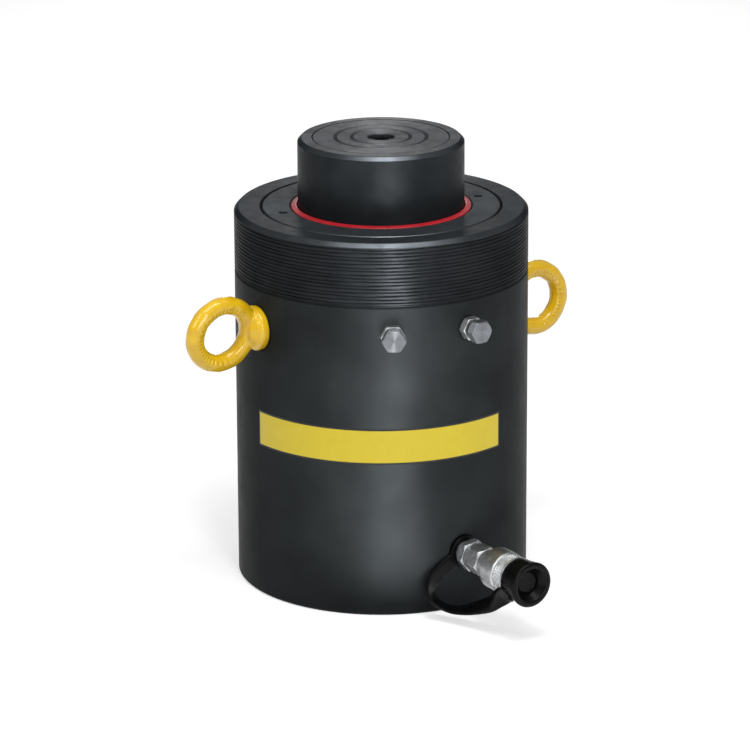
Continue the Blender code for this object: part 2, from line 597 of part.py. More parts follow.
def build_saddle(group):
    """The hardened bearing plate with two turned grooves, and the screw that holds it."""
    top = PLUNGER_TOP - PISTON_FLOOR
    base = top - SADDLE_THICKNESS
    outer = SADDLE_DIAMETER / 2
    head = SADDLE_SCREW_HEAD / 2 + GAP
    shank = SADDLE_SCREW_SHANK / 2 + GAP
    shelf = top - SADDLE_SCREW_SUNK - SADDLE_SCREW_HEAD_HEIGHT - GAP
    profile = [(shank, base), (outer, base), (outer, top - SADDLE_EDGE_BREAK),
               (outer - SADDLE_EDGE_BREAK, top)]
    for radius in reversed(SADDLE_GROOVE_RADII):
        half = SADDLE_GROOVE_WIDTH / 2
        profile += [(radius + half, top), (radius, top - SADDLE_GROOVE_DEPTH), (radius - half, top)]
    profile += [(head + SADDLE_EDGE_BREAK, top), (head, top - SADDLE_EDGE_BREAK), (head, shelf),
                (shank, shelf)]
    finish_object(turned("saddle", profile, SEG_CASING), "blackened_steel", group)

    crown = top - SADDLE_SCREW_SUNK
    foot = base - SADDLE_SCREW_GRIP
    radius = SADDLE_SCREW_HEAD / 2
    rod = SADDLE_SCREW_SHANK / 2
    screw = turned("saddle_screw", [
        (0, foot), (rod - EDGE_BREAK, foot), (rod, foot + EDGE_BREAK), (rod, shelf + GAP),
        (radius, shelf + GAP), (radius, crown - EDGE_BREAK), (radius - EDGE_BREAK, crown),
        (0, crown)], SEG_FITTING)
    lead = SADDLE_SCREW_SOCKET_LEAD
    socket = hexagon("socket", SADDLE_SCREW_SOCKET, crown - SADDLE_SCREW_SOCKET_DEPTH,
                     crown + OVERRUN + lead, lead)
    combine(screw, socket, "DIFFERENCE")
    finish_object(screw, "blackened_steel", group)


def build_eye_bolt(name, side, drop, twist):
    """A forged lifting eye: threaded shank, round flange and a ring blended on to it."""
    frame = radial_frame(side * math.pi / 2, BODY_HEIGHT - drop, twist)
    carrier = empty(name + "_axis", frame)
    seat = EYE_SEAT + GAP
    shank = EYE_SHANK / 2
    flange = EYE_FLANGE_DIAMETER / 2
    neck = EYE_NECK_DIAMETER / 2
    foot = BORE_RADIUS + EYE_HOLE_WALL + HOLE_SPARE
    centre = EYE_SEAT + EYE_CENTRE_HEIGHT
    ring_radius = (EYE_OPENING + EYE_WIRE) / 2
    throat = centre - EYE_OPENING / 2 - EYE_NECK_SUNK
    shoulder = seat + EYE_FLANGE_EDGE
    stem = turned(name, [
        (0, foot), (shank - EYE_SHANK_LEAD, foot), (shank, foot + EYE_SHANK_LEAD), (shank, seat),
        (flange - EDGE_BREAK, seat), (flange, seat + EDGE_BREAK), (flange, shoulder),
        (flange - EYE_FLANGE_ROUND, shoulder + EYE_FLANGE_ROUND), (neck, seat + EYE_FLANGE_HEIGHT),
        (neck - EYE_FLANGE_ROUND, throat), (0, throat)], SEG_FITTING)
    bm = bmesh.new()
    section = bmesh.ops.create_circle(bm, segments=EYE_WIRE_FACETS, radius=EYE_WIRE / 2,
                                      matrix=Matrix.Translation((0, ring_radius, centre)))
    edges = list({edge for vert in section["verts"] for edge in vert.link_edges})
    bmesh.ops.spin(bm, geom=section["verts"] + edges, axis=(1, 0, 0), cent=(0, 0, centre),
                   angle=2 * math.pi, steps=EYE_RING_FACETS)
    combine(stem, mesh_object(name + "_ring", bm), "UNION")
    return finish_object(stem, "yellow_enamel", carrier)


def build_vent(name, angle):
    """A vent fitting: sealing washer, hexagon adapter in the wall, seal and hexagon plug."""
    carrier = empty("vent_axis_" + name, radial_frame(angle, VENT_HEIGHT))
    thread = VENT_THREAD / 2
    screw = VENT_SCREW / 2
    rim = (VENT_HEX - EDGE_BREAK) / 2
    low = VENT_SEAT + GAP
    high = low + VENT_WASHER_THICKNESS
    washer = [(thread + GAP, low), (rim, low), (rim, high), (thread + GAP, high)]
    finish_object(turned("vent_washer_" + name, washer, SEG_SMALL), "black_rubber", carrier)

    low = high + GAP
    high = low + VENT_BASE_LENGTH
    foot = VENT_SEAT - VENT_SCREW_LENGTH
    tapped = high - VENT_SCREW_LENGTH - EDGE_BREAK
    adapter = hexagon("vent_adapter_" + name, VENT_HEX, low, high, HEX_BREAK, VENT_HEX_TURN)
    combine(adapter, bar("vent_thread", VENT_THREAD, foot, low + OVERRUN, SEG_SMALL), "UNION")
    tapping = bar("vent_tapping", VENT_SCREW + 2 * GAP, tapped, high + OVERRUN, SEG_SMALL)
    combine(adapter, tapping, "DIFFERENCE")
    combine(adapter, bar("vent_passage", VENT_DRILLING, foot - OVERRUN, high, SEG_SMALL), "DIFFERENCE")
    finish_object(adapter, "zinc_plated_steel", carrier)

    root = VENT_NECK_DIAMETER / 2
    low = high + GAP
    neck = low + VENT_SEAL_THICKNESS + GAP
    seal = [(screw + GAP, low), (root, low), (root, neck - GAP), (screw + GAP, neck - GAP)]
    finish_object(turned("vent_seal_" + name, seal, SEG_SMALL), "black_rubber", carrier)

    head = neck + VENT_NECK_LENGTH
    front = head + VENT_HEAD_LENGTH
    plug = hexagon("vent_plug_" + name, VENT_HEX, head, front, VENT_HEAD_BREAK, VENT_HEX_TURN)
    foot = high - VENT_SCREW_LENGTH
    top = head + OVERRUN
    stem = [(0, foot), (screw, foot), (screw, neck), (root, neck), (root, top), (0, top)]
    combine(plug, turned("vent_stem", stem, SEG_SMALL), "UNION")
    finish_object(plug, "zinc_plated_steel", carrier)


def coupler_stations():
    """Distances from the cylinder axis to the faces along the coupler."""
    strap = PORT_SEAT + GAP
    nipple = strap + STRAP_RING_THICKNESS + GAP
    body = nipple + NIPPLE_SHOULDER_LENGTH + NIPPLE_HEX_LENGTH + GAP
    neck = body + COUPLER_HEX_LENGTH
    flange = neck + COUPLER_NECK_LENGTH
    nose = flange + COUPLER_FLANGE_LENGTH
    nose_end = nose + COUPLER_NOSE_LENGTH
    collar = flange - GAP - COLLAR_SHOULDER
    collar_band = collar + COLLAR_CONE_LENGTH
    grip = collar_band + COLLAR_BAND_LENGTH
    sleeve = grip + COLLAR_GRIP_LENGTH
    sleeve_end = sleeve + COLLAR_SLEEVE_LENGTH
    mouth = nose_end - COUPLER_MOUTH_DEPTH
    chamber_end = mouth - COUPLER_SEAT_LENGTH
    chamber = chamber_end - POPPET_CHAMBER_LENGTH
    return {"strap": strap, "nipple": nipple, "body": body, "neck": neck, "flange": flange, "nose": nose,
            "nose_end": nose_end, "collar": collar, "collar_band": collar_band, "grip": grip,
            "sleeve": sleeve, "sleeve_end": sleeve_end, "mouth": mouth, "chamber_end": chamber_end,
            "chamber": chamber}


def build_port_nipple(carrier):
    """The hexagon nipple that screws into the port and carries the coupler."""
    at = coupler_stations()
    thread = PORT_THREAD / 2
    foot = PORT_SEAT - PORT_THREAD_LENGTH
    front = at["body"] + PORT_THREAD_LENGTH
    tip = thread - EDGE_BREAK
    end = at["body"] - GAP
    start = at["nipple"] + NIPPLE_SHOULDER_LENGTH
    shoulder = NIPPLE_SHOULDER / 2
    nipple = hexagon("port_nipple", NIPPLE_HEX, start, end, HEX_BREAK, COUPLER_HEX_TURN, NIPPLE_TAPER)
    stem = [(0, foot), (tip, foot), (thread, foot + EDGE_BREAK), (thread, at["nipple"]),
            (shoulder, at["nipple"]), (shoulder, start + OVERRUN), (thread, start + OVERRUN),
            (thread, front - EDGE_BREAK), (tip, front), (0, front)]
    combine(nipple, turned("nipple_stem", stem, SEG_FITTING), "UNION")
    combine(nipple, bar("nipple_bore", NIPPLE_BORE, foot - OVERRUN, front + OVERRUN, SEG_SMALL), "DIFFERENCE")
    finish_object(nipple, "zinc_plated_steel", carrier)


def build_coupler_body(carrier):
    """The female coupler half: hexagon at the back, neck, flange and nose, bored through."""
    at = coupler_stations()
    neck = COUPLER_NECK / 2
    flange = COUPLER_FLANGE / 2
    nose = COUPLER_NOSE / 2
    body = hexagon("coupler_body", COUPLER_HEX, at["body"], at["neck"], COUPLER_HEX_BREAK, COUPLER_HEX_TURN,
                   COUPLER_TAPER)
    ring_low = at["collar"] - 2 * GAP - SNAP_RING_WIRE
    start = at["body"] + COUPLER_BARREL_SUNK
    end = at["nose_end"]
    barrel = [(0, start), (neck, start)]
    barrel += groove(neck, ring_low, at["collar"] - GAP, SNAP_RING_WIRE / 2)
    barrel += [(neck, at["flange"]), (flange, at["flange"]), (flange, at["nose"]),
               (nose, at["nose"]), (nose, end - EDGE_BREAK), (nose - EDGE_BREAK, end), (0, end)]
    combine(body, turned("coupler_barrel", barrel, SEG_FITTING), "UNION")
    thread = PORT_THREAD / 2 + GAP
    seat = POPPET_DIAMETER / 2 + GAP
    chamber = POPPET_CHAMBER / 2
    mouth = COUPLER_MOUTH / 2
    passage = NIPPLE_BORE / 2
    thread_end = at["body"] + PORT_THREAD_LENGTH + EDGE_BREAK
    o_ring = at["mouth"] - COUPLER_SEAT_LENGTH / 2
    bore = [(0, at["body"] - OVERRUN), (thread, at["body"] - OVERRUN), (thread, thread_end),
            (passage, thread_end + HOLE_SPARE), (passage, at["chamber"]), (chamber, at["chamber"]),
            (chamber, at["chamber_end"]), (seat, at["chamber_end"])]
    bore += groove(seat, o_ring - POPPET_O_RING, o_ring + POPPET_O_RING, 2 * POPPET_O_RING, outward=False)
    bore += [(seat, at["mouth"]), (mouth, at["mouth"]), (mouth, end + OVERRUN), (0, end + OVERRUN)]
    combine(body, turned("coupler_bore", bore, SEG_FITTING), "DIFFERENCE")
    finish_object(body, "zinc_plated_steel", carrier)
    ring = seal_section(seat + POPPET_O_RING, o_ring, POPPET_O_RING - GAP / 2)
    finish_object(turned("coupler_o_ring", ring, SEG_FITTING), "black_rubber", carrier)


def build_coupler_collar(carrier):
    """The union collar, from cone and smooth band to grip and sleeve, and the snap ring behind it."""
    at = coupler_stations()
    neck = COUPLER_NECK / 2 + GAP
    flange = COUPLER_FLANGE / 2 + GAP
    thread = COLLAR_THREAD_BORE / 2
    band = COLLAR_DIAMETER / 2
    grip = COLLAR_GRIP_DIAMETER / 2
    rim = COLLAR_RIM_DIAMETER / 2
    sleeve = COLLAR_SLEEVE / 2
    step = at["flange"] - GAP
    clear = at["nose"] + GAP
    end = at["sleeve_end"]
    profile = [(neck, at["collar"]), (neck + COLLAR_BACK_WALL, at["collar"]), (band, at["collar_band"]),
               (band, at["grip"] - EDGE_BREAK), (grip, at["grip"]), (grip, at["sleeve"] - COLLAR_RIM_WIDTH),
               (rim, at["sleeve"] - COLLAR_RIM_WIDTH), (rim, at["sleeve"]), (sleeve, at["sleeve"]),
               (sleeve, end), (thread, end),
               (thread, clear + EDGE_BREAK), (flange, clear), (flange, step), (neck, step)]
    finish_object(turned("coupler_collar", profile, SEG_COLLAR), "zinc_plated_steel", carrier)
    low = at["collar"] - GAP - SNAP_RING_WIRE + GAP / 3
    high = at["collar"] - GAP - GAP / 3
    inner = COUPLER_NECK / 2 - SNAP_RING_WIRE / 2 + GAP
    outer = inner + SNAP_RING_WIRE
    ring = [(inner, low), (outer, low), (outer, high), (inner, high)]
    finish_object(split_ring("collar_snap_ring", ring, SEG_FITTING, SNAP_RING_CUT), "spring_steel", carrier)


def build_poppet(carrier):
    """The check poppet in the coupler and the spring that shuts it."""
    at = coupler_stations()
    flange_low = at["chamber_end"] - GAP - POPPET_FLANGE_LENGTH
    tail_low = flange_low - POPPET_TAIL_LENGTH
    tip = at["mouth"]
    head = POPPET_DIAMETER / 2
    seat = at["chamber_end"] - GAP
    profile = [(0, tail_low), (POPPET_TAIL / 2, tail_low), (POPPET_TAIL / 2, flange_low),
               (POPPET_FLANGE / 2, flange_low), (POPPET_FLANGE / 2, seat),
               (head, seat), (head, tip - EDGE_BREAK), (head - EDGE_BREAK, tip), (0, tip)]
    finish_object(turned("coupler_poppet", profile, SEG_FITTING), "machined_steel", carrier)

    low = at["chamber"] + GAP + SPRING_WIRE / 2
    high = flange_low - GAP - SPRING_WIRE / 2
    dead = SPRING_DEAD_TURNS / SPRING_TURNS
    count = SPRING_TURNS * SPRING_STEPS + 1
    curve = bpy.data.curves.new("poppet_spring", "CURVE")
    curve.dimensions = "3D"
    curve.bevel_depth = SPRING_WIRE / 2
    curve.bevel_resolution = 0
    curve.use_fill_caps = True
    spline = curve.splines.new("POLY")
    spline.points.add(count - 1)
    for index in range(count):
        share = index / (count - 1)
        rise = min(max((share - dead) / (1 - 2 * dead), 0), 1)
        lift = SPRING_WIRE * (min(share, dead) + max(share - 1 + dead, 0)) / dead
        angle = 2 * math.pi * index / SPRING_STEPS
        height = low + lift + (high - low - 2 * SPRING_WIRE) * rise
        x = SPRING_COIL / 2 * math.cos(angle)
        y = SPRING_COIL / 2 * math.sin(angle)
        spline.points[index].co = (x, y, height, 1)
    spring = bpy.data.objects.new("poppet_spring", curve)
    bpy.context.scene.collection.objects.link(spring)
    finish_object(spring, "spring_steel", carrier)


def build_dust_cap(carrier):
    """The moulded cap: it flares from the collar's sleeve to a thick lip, with a boss and a funnel."""
    at = coupler_stations()
    start = at["sleeve"] + GAP
    end = start + CAP_LENGTH
    web = at["sleeve_end"] + GAP
    sleeve = CAP_SLEEVE / 2
    lip = CAP_LIP / 2
    inner = COLLAR_SLEEVE / 2 + GAP
    boss = CAP_BOSS / 2
    boss_end = web - CAP_BOSS_LENGTH
    throat = CAP_FUNNEL_THROAT / 2
    floor = web + CAP_WEB
    edge = EDGE_BREAK
    profile = [(0, boss_end), (boss - edge, boss_end), (boss, boss_end + edge), (boss, web), (inner, web),
               (inner, start), (sleeve - edge, start), (sleeve, start + edge),
               (lip, end - CAP_LIP_ROUND), (lip - CAP_LIP_ROUND, end), (CAP_FUNNEL_MOUTH / 2, end),
               (throat, end - CAP_FUNNEL_DEPTH), (throat - edge, floor), (0, floor)]
    finish_object(turned("dust_cap", profile, SEG_COLLAR), "black_rubber", carrier)


def smooth_route(points, per_span):
    """Points along a Catmull-Rom curve through the given points."""
    padded = [2 * points[0] - points[1]] + points + [2 * points[-1] - points[-2]]
    route = []
    for a, b, c, d in zip(padded, padded[1:], padded[2:], padded[3:]):
        for step in range(per_span):
            t = step / per_span
            route.append(0.5 * (2 * b + (c - a) * t + (2 * a - 5 * b + 4 * c - d) * t ** 2
                                + (3 * b - 3 * c + d - a) * t ** 3))
    route.append(points[-1])
    return route


def build_strap(carrier):
    """The cap's strap: a ring held under the nipple and a flat band that bends round to the cap."""
    at = coupler_stations()
    outer = STRAP_RING_DIAMETER / 2
    inner = PORT_THREAD / 2 + GAP
    low = at["strap"]
    high = low + STRAP_RING_THICKNESS
    ring = turned("dust_cap_strap", [
        (inner, low), (outer - EDGE_BREAK, low), (outer, low + EDGE_BREAK), (outer, high - EDGE_BREAK),
        (outer - EDGE_BREAK, high), (inner, high)], SEG_FITTING)
    points = [Vector((x, z, PORT_SEAT / MM + s)) * MM for x, s, z in STRAP_ROUTE_MM]
    route = smooth_route(points, STRAP_STEPS)
    faces = smooth_route([Vector((x, z, s)) for x, s, z in STRAP_FACES], STRAP_STEPS)
    half_width = STRAP_WIDTH / 2
    half_thick = STRAP_THICKNESS / 2
    flat = half_width - half_thick
    section = [(-half_width, 0), (-flat, -half_thick), (flat, -half_thick),
               (half_width, 0), (flat, half_thick), (-flat, half_thick)]
    last = len(route) - 1
    bm = bmesh.new()
    rings = []
    for index, (point, face) in enumerate(zip(route, faces)):
        tangent = (route[min(index + 1, last)] - route[max(index - 1, 0)]).normalized()
        normal = (face - tangent * face.dot(tangent)).normalized()
        across = tangent.cross(normal)
        rings.append([bm.verts.new(point + across * u + normal * v) for u, v in section])
    for first, second in zip(rings, rings[1:]):
        for i in range(len(section)):
            j = (i + 1) % len(section)
            bm.faces.new((first[i], first[j], second[j], second[i]))
    bm.faces.new(rings[0])
    bm.faces.new(reversed(rings[-1]))
    combine(ring, mesh_object("strap_band", bm), "UNION")
    finish_object(ring, "black_rubber", carrier)


def main():
    """Clear the scene and build every piece where it sits in the assembled cylinder."""
    for obj in list(bpy.data.objects):
        bpy.data.objects.remove(obj, do_unlink=True)
    build_body()
    build_stop_ring()
    build_stop_ring_seals()
    travel = empty("plunger_travel", Matrix.Translation((0, 0, PISTON_FLOOR)))
    build_plunger(travel)
    build_piston(travel)
    build_piston_rings(travel)
    build_piston_nut(travel)
    build_saddle(travel)
    build_eye_bolt("eye_bolt_left", -1, LEFT_EYE_DROP, LEFT_EYE_TWIST)
    build_eye_bolt("eye_bolt_right", 1, RIGHT_EYE_DROP, RIGHT_EYE_TWIST)
    for name, angle in zip(("front", "side"), VENT_ANGLES):
        build_vent(name, angle)
    port = empty("coupler_axis", radial_frame(0, PORT_HEIGHT))
    build_port_nipple(port)
    build_coupler_body(port)
    build_coupler_collar(port)
    build_poppet(port)
    build_dust_cap(port)
    build_strap(port)


main()
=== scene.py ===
# %% [markdown]
# # A short, heavy hydraulic cylinder
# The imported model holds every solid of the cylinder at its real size: casing, plunger, stop ring, saddle,
# lifting eyes, vents and the capped coupler. This script gives them the surfaces that the eye knows them
# by. It works in millimetres and writes metres into the meshes.

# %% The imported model
import json
import math

import bmesh
import bpy
import numpy as np
from mathutils import Matrix, Vector

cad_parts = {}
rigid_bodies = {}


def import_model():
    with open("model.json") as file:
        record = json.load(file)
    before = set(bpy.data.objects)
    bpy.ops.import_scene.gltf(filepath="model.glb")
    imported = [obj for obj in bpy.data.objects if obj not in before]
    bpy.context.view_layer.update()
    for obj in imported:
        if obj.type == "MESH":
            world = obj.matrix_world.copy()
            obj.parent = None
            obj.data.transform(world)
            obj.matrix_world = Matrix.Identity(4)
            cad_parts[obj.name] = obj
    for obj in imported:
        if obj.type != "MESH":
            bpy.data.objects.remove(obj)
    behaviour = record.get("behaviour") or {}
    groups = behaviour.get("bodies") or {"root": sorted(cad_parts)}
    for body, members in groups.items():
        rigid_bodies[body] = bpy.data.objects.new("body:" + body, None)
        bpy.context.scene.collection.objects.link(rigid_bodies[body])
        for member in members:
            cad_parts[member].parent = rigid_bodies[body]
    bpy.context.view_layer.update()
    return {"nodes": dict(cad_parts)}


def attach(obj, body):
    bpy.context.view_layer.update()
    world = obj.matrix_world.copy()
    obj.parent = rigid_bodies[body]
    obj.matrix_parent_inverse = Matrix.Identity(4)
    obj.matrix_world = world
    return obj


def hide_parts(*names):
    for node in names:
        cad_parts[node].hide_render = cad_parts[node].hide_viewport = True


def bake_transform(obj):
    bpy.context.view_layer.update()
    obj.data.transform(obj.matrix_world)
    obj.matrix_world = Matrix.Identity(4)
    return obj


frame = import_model()
MM = 0.001

# %% [markdown]
# ## Skinning a grid of points
# Nearly every piece of a cylinder is turned, or follows a path. Both are a grid: rows along the profile,
# columns round the axis. One function joins such a grid with four-sided faces, closes the poles where a
# whole row falls on one point, and lets Blender turn the faces outwards.

# %% From a grid to a mesh
SHARP = math.radians(34)            # edges flatter than this are shaded as one surface
WELD = 1e-6                         # points closer than this, in metres, become one


def skin(name, points, wrap=True):
    """A mesh object from a grid of points in mm, rows by columns by three, closed round its columns."""
    rows, columns = points.shape[:2]
    index = np.arange(rows * columns).reshape(rows, columns)
    if wrap:
        index = np.hstack([index, index[:, :1]])
    quads = np.stack([index[:-1, :-1], index[:-1, 1:], index[1:, 1:], index[1:, :-1]], axis=-1)
    mesh = bpy.data.meshes.new(name)
    mesh.from_pydata((points * MM).reshape(-1, 3).tolist(), [], quads.reshape(-1, 4).tolist())
    obj = bpy.data.objects.new(name, mesh)
    bpy.context.scene.collection.objects.link(obj)
    return tidy(obj)


def tidy(obj):
    """Merge points that coincide, turn the faces outwards and shade the rounds smooth."""
    bm = bmesh.new()
    bm.from_mesh(obj.data)
    bmesh.ops.remove_doubles(bm, verts=bm.verts[:], dist=WELD)
    bmesh.ops.recalc_face_normals(bm, faces=bm.faces[:])
    bm.to_mesh(obj.data)
    bm.free()
    obj.data.shade_smooth()
    obj.data.set_sharp_from_angle(angle=SHARP)
    return obj


# %% [markdown]
# ## Turned pieces with broken edges
# A lathe leaves no knife edge, and the thin bright line on a broken edge is what tells the eye that a piece
# is metal. So each corner of a profile becomes a short curve, with a point just before and just after it
# that keeps the flat faces beside it flat in the shading.

# %% Rounding the corners of a profile
ROUND_STEPS = 3                     # facets on each rounded corner
HOLD = 1.3                          # where the holding points stand, as a share of the corner's reach
REACH_LIMIT = 0.36                  # a corner takes at most this share of the shorter side beside it
NEARLY_NOTHING = 1e-12              # added to a length that is divided by, so that it is never zero


def rounded(profile, reach, closed=False):
    """Round each corner P of a profile between its neighbours A and B.

    S and E lie on PA and PB at the corner's reach, and the curve is (1 - t)^2 S + 2 t (1 - t) P + t^2 E.
    """
    p = np.asarray(profile, float)
    reach = np.broadcast_to(reach, p.shape[0]).reshape(-1, *[1] * (p.ndim - 1)).astype(float)
    if not closed:
        reach = reach * (np.arange(len(p)) % (len(p) - 1) > 0).reshape(reach.shape)
    ahead = np.roll(p, 1, axis=0) - p
    behind = np.roll(p, -1, axis=0) - p
    size_a = np.linalg.norm(ahead, axis=-1, keepdims=True) + NEARLY_NOTHING
    size_b = np.linalg.norm(behind, axis=-1, keepdims=True) + NEARLY_NOTHING
    reach = np.minimum(reach, REACH_LIMIT * np.minimum(size_a, size_b))
    start = ahead / size_a * reach
    end = behind / size_b * reach
    t = np.linspace(0, 1, ROUND_STEPS + 1).reshape(-1, *[1] * p.ndim)
    curve = (1 - t) ** 2 * start + t ** 2 * end
    curve = np.concatenate([HOLD * start[None], curve, HOLD * end[None]])
    rows = np.swapaxes(curve + p, 0, 1)
    return rows.reshape(-1, *p.shape[1:])


# %% Spinning a profile and putting it in place
def spin(profile, columns=192):
    """Spin a profile of (radius, height) about Z: x = r cos a, y = r sin a, z = h.

    A profile with a middle dimension gives each column its own radius and height.
    """
    profile = np.asarray(profile, float)
    if profile.ndim == 2:
        profile = np.repeat(profile[:, None], columns, axis=1)
    turn = 2 * np.pi * np.arange(profile.shape[1]) / profile.shape[1]
    radius, height = profile[..., 0], profile[..., 1]
    return np.stack([radius * np.cos(turn), radius * np.sin(turn), height], axis=-1)


def put(points, place):
    """Move points from a piece's own axes to its place, a 4 x 4 matrix in mm."""
    place = np.array(place)
    return points @ place[:3, :3].T + place[:3, 3]


def turned(name, profile, reach=0.5, columns=192, place=None, ring=False):
    """A turned piece in its place. A ring's profile is a closed loop."""
    rows = rounded(profile, reach, closed=ring)
    points = spin(rows, columns)
    if ring:
        points = np.concatenate([points, points[:1]])
    return skin(name, points if place is None else put(points, place))


def radial_place(angle, height, twist=0.0):
    """A place on the cylinder's axis whose Z points out at an angle, counted from -Y towards +X."""
    out = Vector((math.sin(angle), -math.cos(angle), 0))
    up = Vector((0, 0, 1))
    basis = Matrix((up.cross(out), up, out)).transposed().to_4x4()
    return Matrix.Translation((0, 0, height)) @ basis @ Matrix.Rotation(twist, 4, "Z")


# %% Cutting and joining
def settle(piece):
    """Turn a piece's live modifiers into plain mesh."""
    bpy.context.view_layer.update()
    mesh = bpy.data.meshes.new_from_object(piece.evaluated_get(bpy.context.evaluated_depsgraph_get()))
    piece.modifiers.clear()
    piece.data = mesh
    mesh.name = piece.name
    return piece


def combine(piece, tool, operation):
    """Cut a tool out of a piece, or join it on, with an exact Boolean, then throw the tool away."""
    mod = piece.modifiers.new("combine", "BOOLEAN")
    mod.operation = operation
    mod.solver = "EXACT"
    mod.object = tool
    settle(piece)
    bpy.data.objects.remove(tool, do_unlink=True)
    return piece


# %% Finding faces by where they are
def face_middles(piece):
    """How far the middle of each face lies from the casing's axis, and how high, in mm."""
    middles = np.zeros(len(piece.data.polygons) * 3)
    piece.data.polygons.foreach_get("center", middles)
    middles = middles.reshape(-1, 3) / MM
    return np.hypot(middles[:, 0], middles[:, 1]), middles[:, 2]


def rim_band_finish(piece, low, radius, width, mat):
    """Put a second finish on the faces above a height and outside a radius less the edge's width."""
    piece.data.materials.append(mat)
    out, height = face_middles(piece)
    index = np.zeros(len(piece.data.polygons), np.int32)
    piece.data.polygons.foreach_get("material_index", index)
    index[(height > low) & (out > radius - width)] = len(piece.data.materials) - 1
    piece.data.polygons.foreach_set("material_index", index)


# %% [markdown]
# ## The camera
# The photograph is taken a little from above and to the left of the coupler, through a long lens, so the
# rim and the foot are nearly the same ellipse. The camera is set from the casing's radius, the eye's height
# above the floor plane and the lens.

# %% The camera
BODY_RADIUS = 137.5
VIEW_TURN = math.radians(-33.0)     # round the cylinder from the coupler
VIEW_RISE = math.radians(17.677)    # looking down by this much
VIEW_ROLL = math.radians(-0.246)
VIEW_AWAY = 29.1355 * BODY_RADIUS   # from the point looked at
LOOK_AT = (-6.41, 0, 190.67)
FILM = 36.0
LENS = 4239.3 / 750 * FILM          # the focal length is 4239.3 pixels of a picture 750 wide

across = Vector((1, 0, 0))
aim = Vector((0, math.cos(VIEW_RISE), -math.sin(VIEW_RISE)))
rise = Vector((0, math.sin(VIEW_RISE), math.cos(VIEW_RISE)))
right = math.cos(VIEW_ROLL) * across + math.sin(VIEW_ROLL) * rise
up = math.cos(VIEW_ROLL) * rise - math.sin(VIEW_ROLL) * across
round_z = Matrix.Rotation(VIEW_TURN, 3, "Z")
eye = Vector(LOOK_AT) - aim * VIEW_AWAY
camera_data = bpy.data.cameras.new("studio_camera")
camera_data.sensor_width = FILM
camera_data.lens = LENS
camera_data.clip_end = 100
camera = bpy.data.objects.new("studio_camera", camera_data)
bpy.context.scene.collection.objects.link(camera)
camera.matrix_world = Matrix((round_z @ right, round_z @ up, round_z @ -aim)).transposed().to_4x4()
camera.matrix_world.translation = round_z @ eye * MM
bpy.context.scene.camera = camera
print("lens %.1f mm, %.2f m away" % (LENS, VIEW_AWAY * MM))

# %% [markdown]
# ## Colours and nodes
# Colours are written as they look on a screen and turned to linear light by one function. One more function
# adds a shader node: its settings by name, and its inputs as a value or as another node's socket.

# %% Colour and node helpers
def linear(hex_colour):
    """An sRGB hex colour as linear red, green, blue and an alpha of one."""
    value = np.array([int(hex_colour[i:i + 2], 16) for i in (1, 3, 5)]) / 255
    value = np.where(value <= 0.04045, value / 12.92, ((value + 0.055) / 1.055) ** 2.4)
    return (*value.tolist(), 1.0)


def add_node(tree, kind, inputs=None, **settings):
    """Add a node, set its properties, and link or set its inputs."""
    node = tree.nodes.new(kind)
    for key, value in settings.items():
        setattr(node, key, value)
    for key, value in (inputs or {}).items():
        if isinstance(value, bpy.types.NodeSocket):
            tree.links.new(value, node.inputs[key])
        else:
            node.inputs[key].default_value = value
    return node


def patches(tree, coords, size_mm, low, high, detail=3.0):
    """A soft random value from low to high in patches of a size in mm."""
    noise = add_node(tree, "ShaderNodeTexNoise", {"Vector": coords, "Scale": 1 / (size_mm * MM),
                                                  "Detail": detail})
    return add_node(tree, "ShaderNodeMapRange", {
        "Value": noise.outputs["Fac"], "From Min": 0.3, "From Max": 0.7, "To Min": low, "To Max": high
    }).outputs["Result"]


def finish(name, colours, clouds, rough, rough_clouds, reliefs, place=None, **sockets):
    """A Principled material whose colour and roughness drift in soft patches, with reliefs over each other.

    The clouds are the sizes of the patches in mm, and rough is the lowest and highest roughness. A relief is
    (pattern, size in mm, depth in mm, strength, and for GRAIN its detail). GRAIN is a soft random height, and
    RINGS or BANDS are a lathe tool's lines, a size apart, round Z on an end face or along Z on a side.
    A place turns the patterns to the piece's own axes.
    """
    mat = bpy.data.materials.new(name)
    mat.use_nodes = True
    tree = mat.node_tree
    shader = tree.nodes["Principled BSDF"]
    for key, value in sockets.items():
        shader.inputs[key.replace("_", " ")].default_value = value
    coords = add_node(tree, "ShaderNodeTexCoord").outputs["Object"]
    if place is not None:
        back = place.inverted()
        coords = add_node(tree, "ShaderNodeMapping", {
            "Vector": coords, "Location": back.translation * MM, "Rotation": back.to_euler()
        }).outputs["Vector"]
    colour = add_node(tree, "ShaderNodeMix", {
        0: patches(tree, coords, clouds, 0, 1), 6: linear(colours[0]), 7: linear(colours[1])
    }, data_type="RGBA")
    tree.links.new(colour.outputs[2], shader.inputs["Base Color"])
    tree.links.new(patches(tree, coords, rough_clouds, *rough), shader.inputs["Roughness"])
    for pattern, size, depth, strength, *detail in reliefs:
        if pattern == "GRAIN":
            height = patches(tree, coords, size, 0, 1, *detail)
        else:
            # a wave texture repeats every pi / 10 of its scale
            height = add_node(tree, "ShaderNodeTexWave", {
                "Vector": coords, "Scale": math.pi / (10 * size * MM), "Distortion": 0.4, "Detail": 0.0},
                wave_type=pattern, **{pattern.lower() + "_direction": "Z"}).outputs["Fac"]
        bump = add_node(tree, "ShaderNodeBump", {"Height": height, "Distance": depth * MM,
                                                 "Strength": strength})
        for link in shader.inputs["Normal"].links:
            tree.links.new(link.from_socket, bump.inputs["Normal"])
        tree.links.new(bump.outputs["Normal"], shader.inputs["Normal"])
    return mat


def give(obj, mat):
    """Put one material on a piece."""
    obj.data.materials.clear()
    obj.data.materials.append(mat)
    return obj


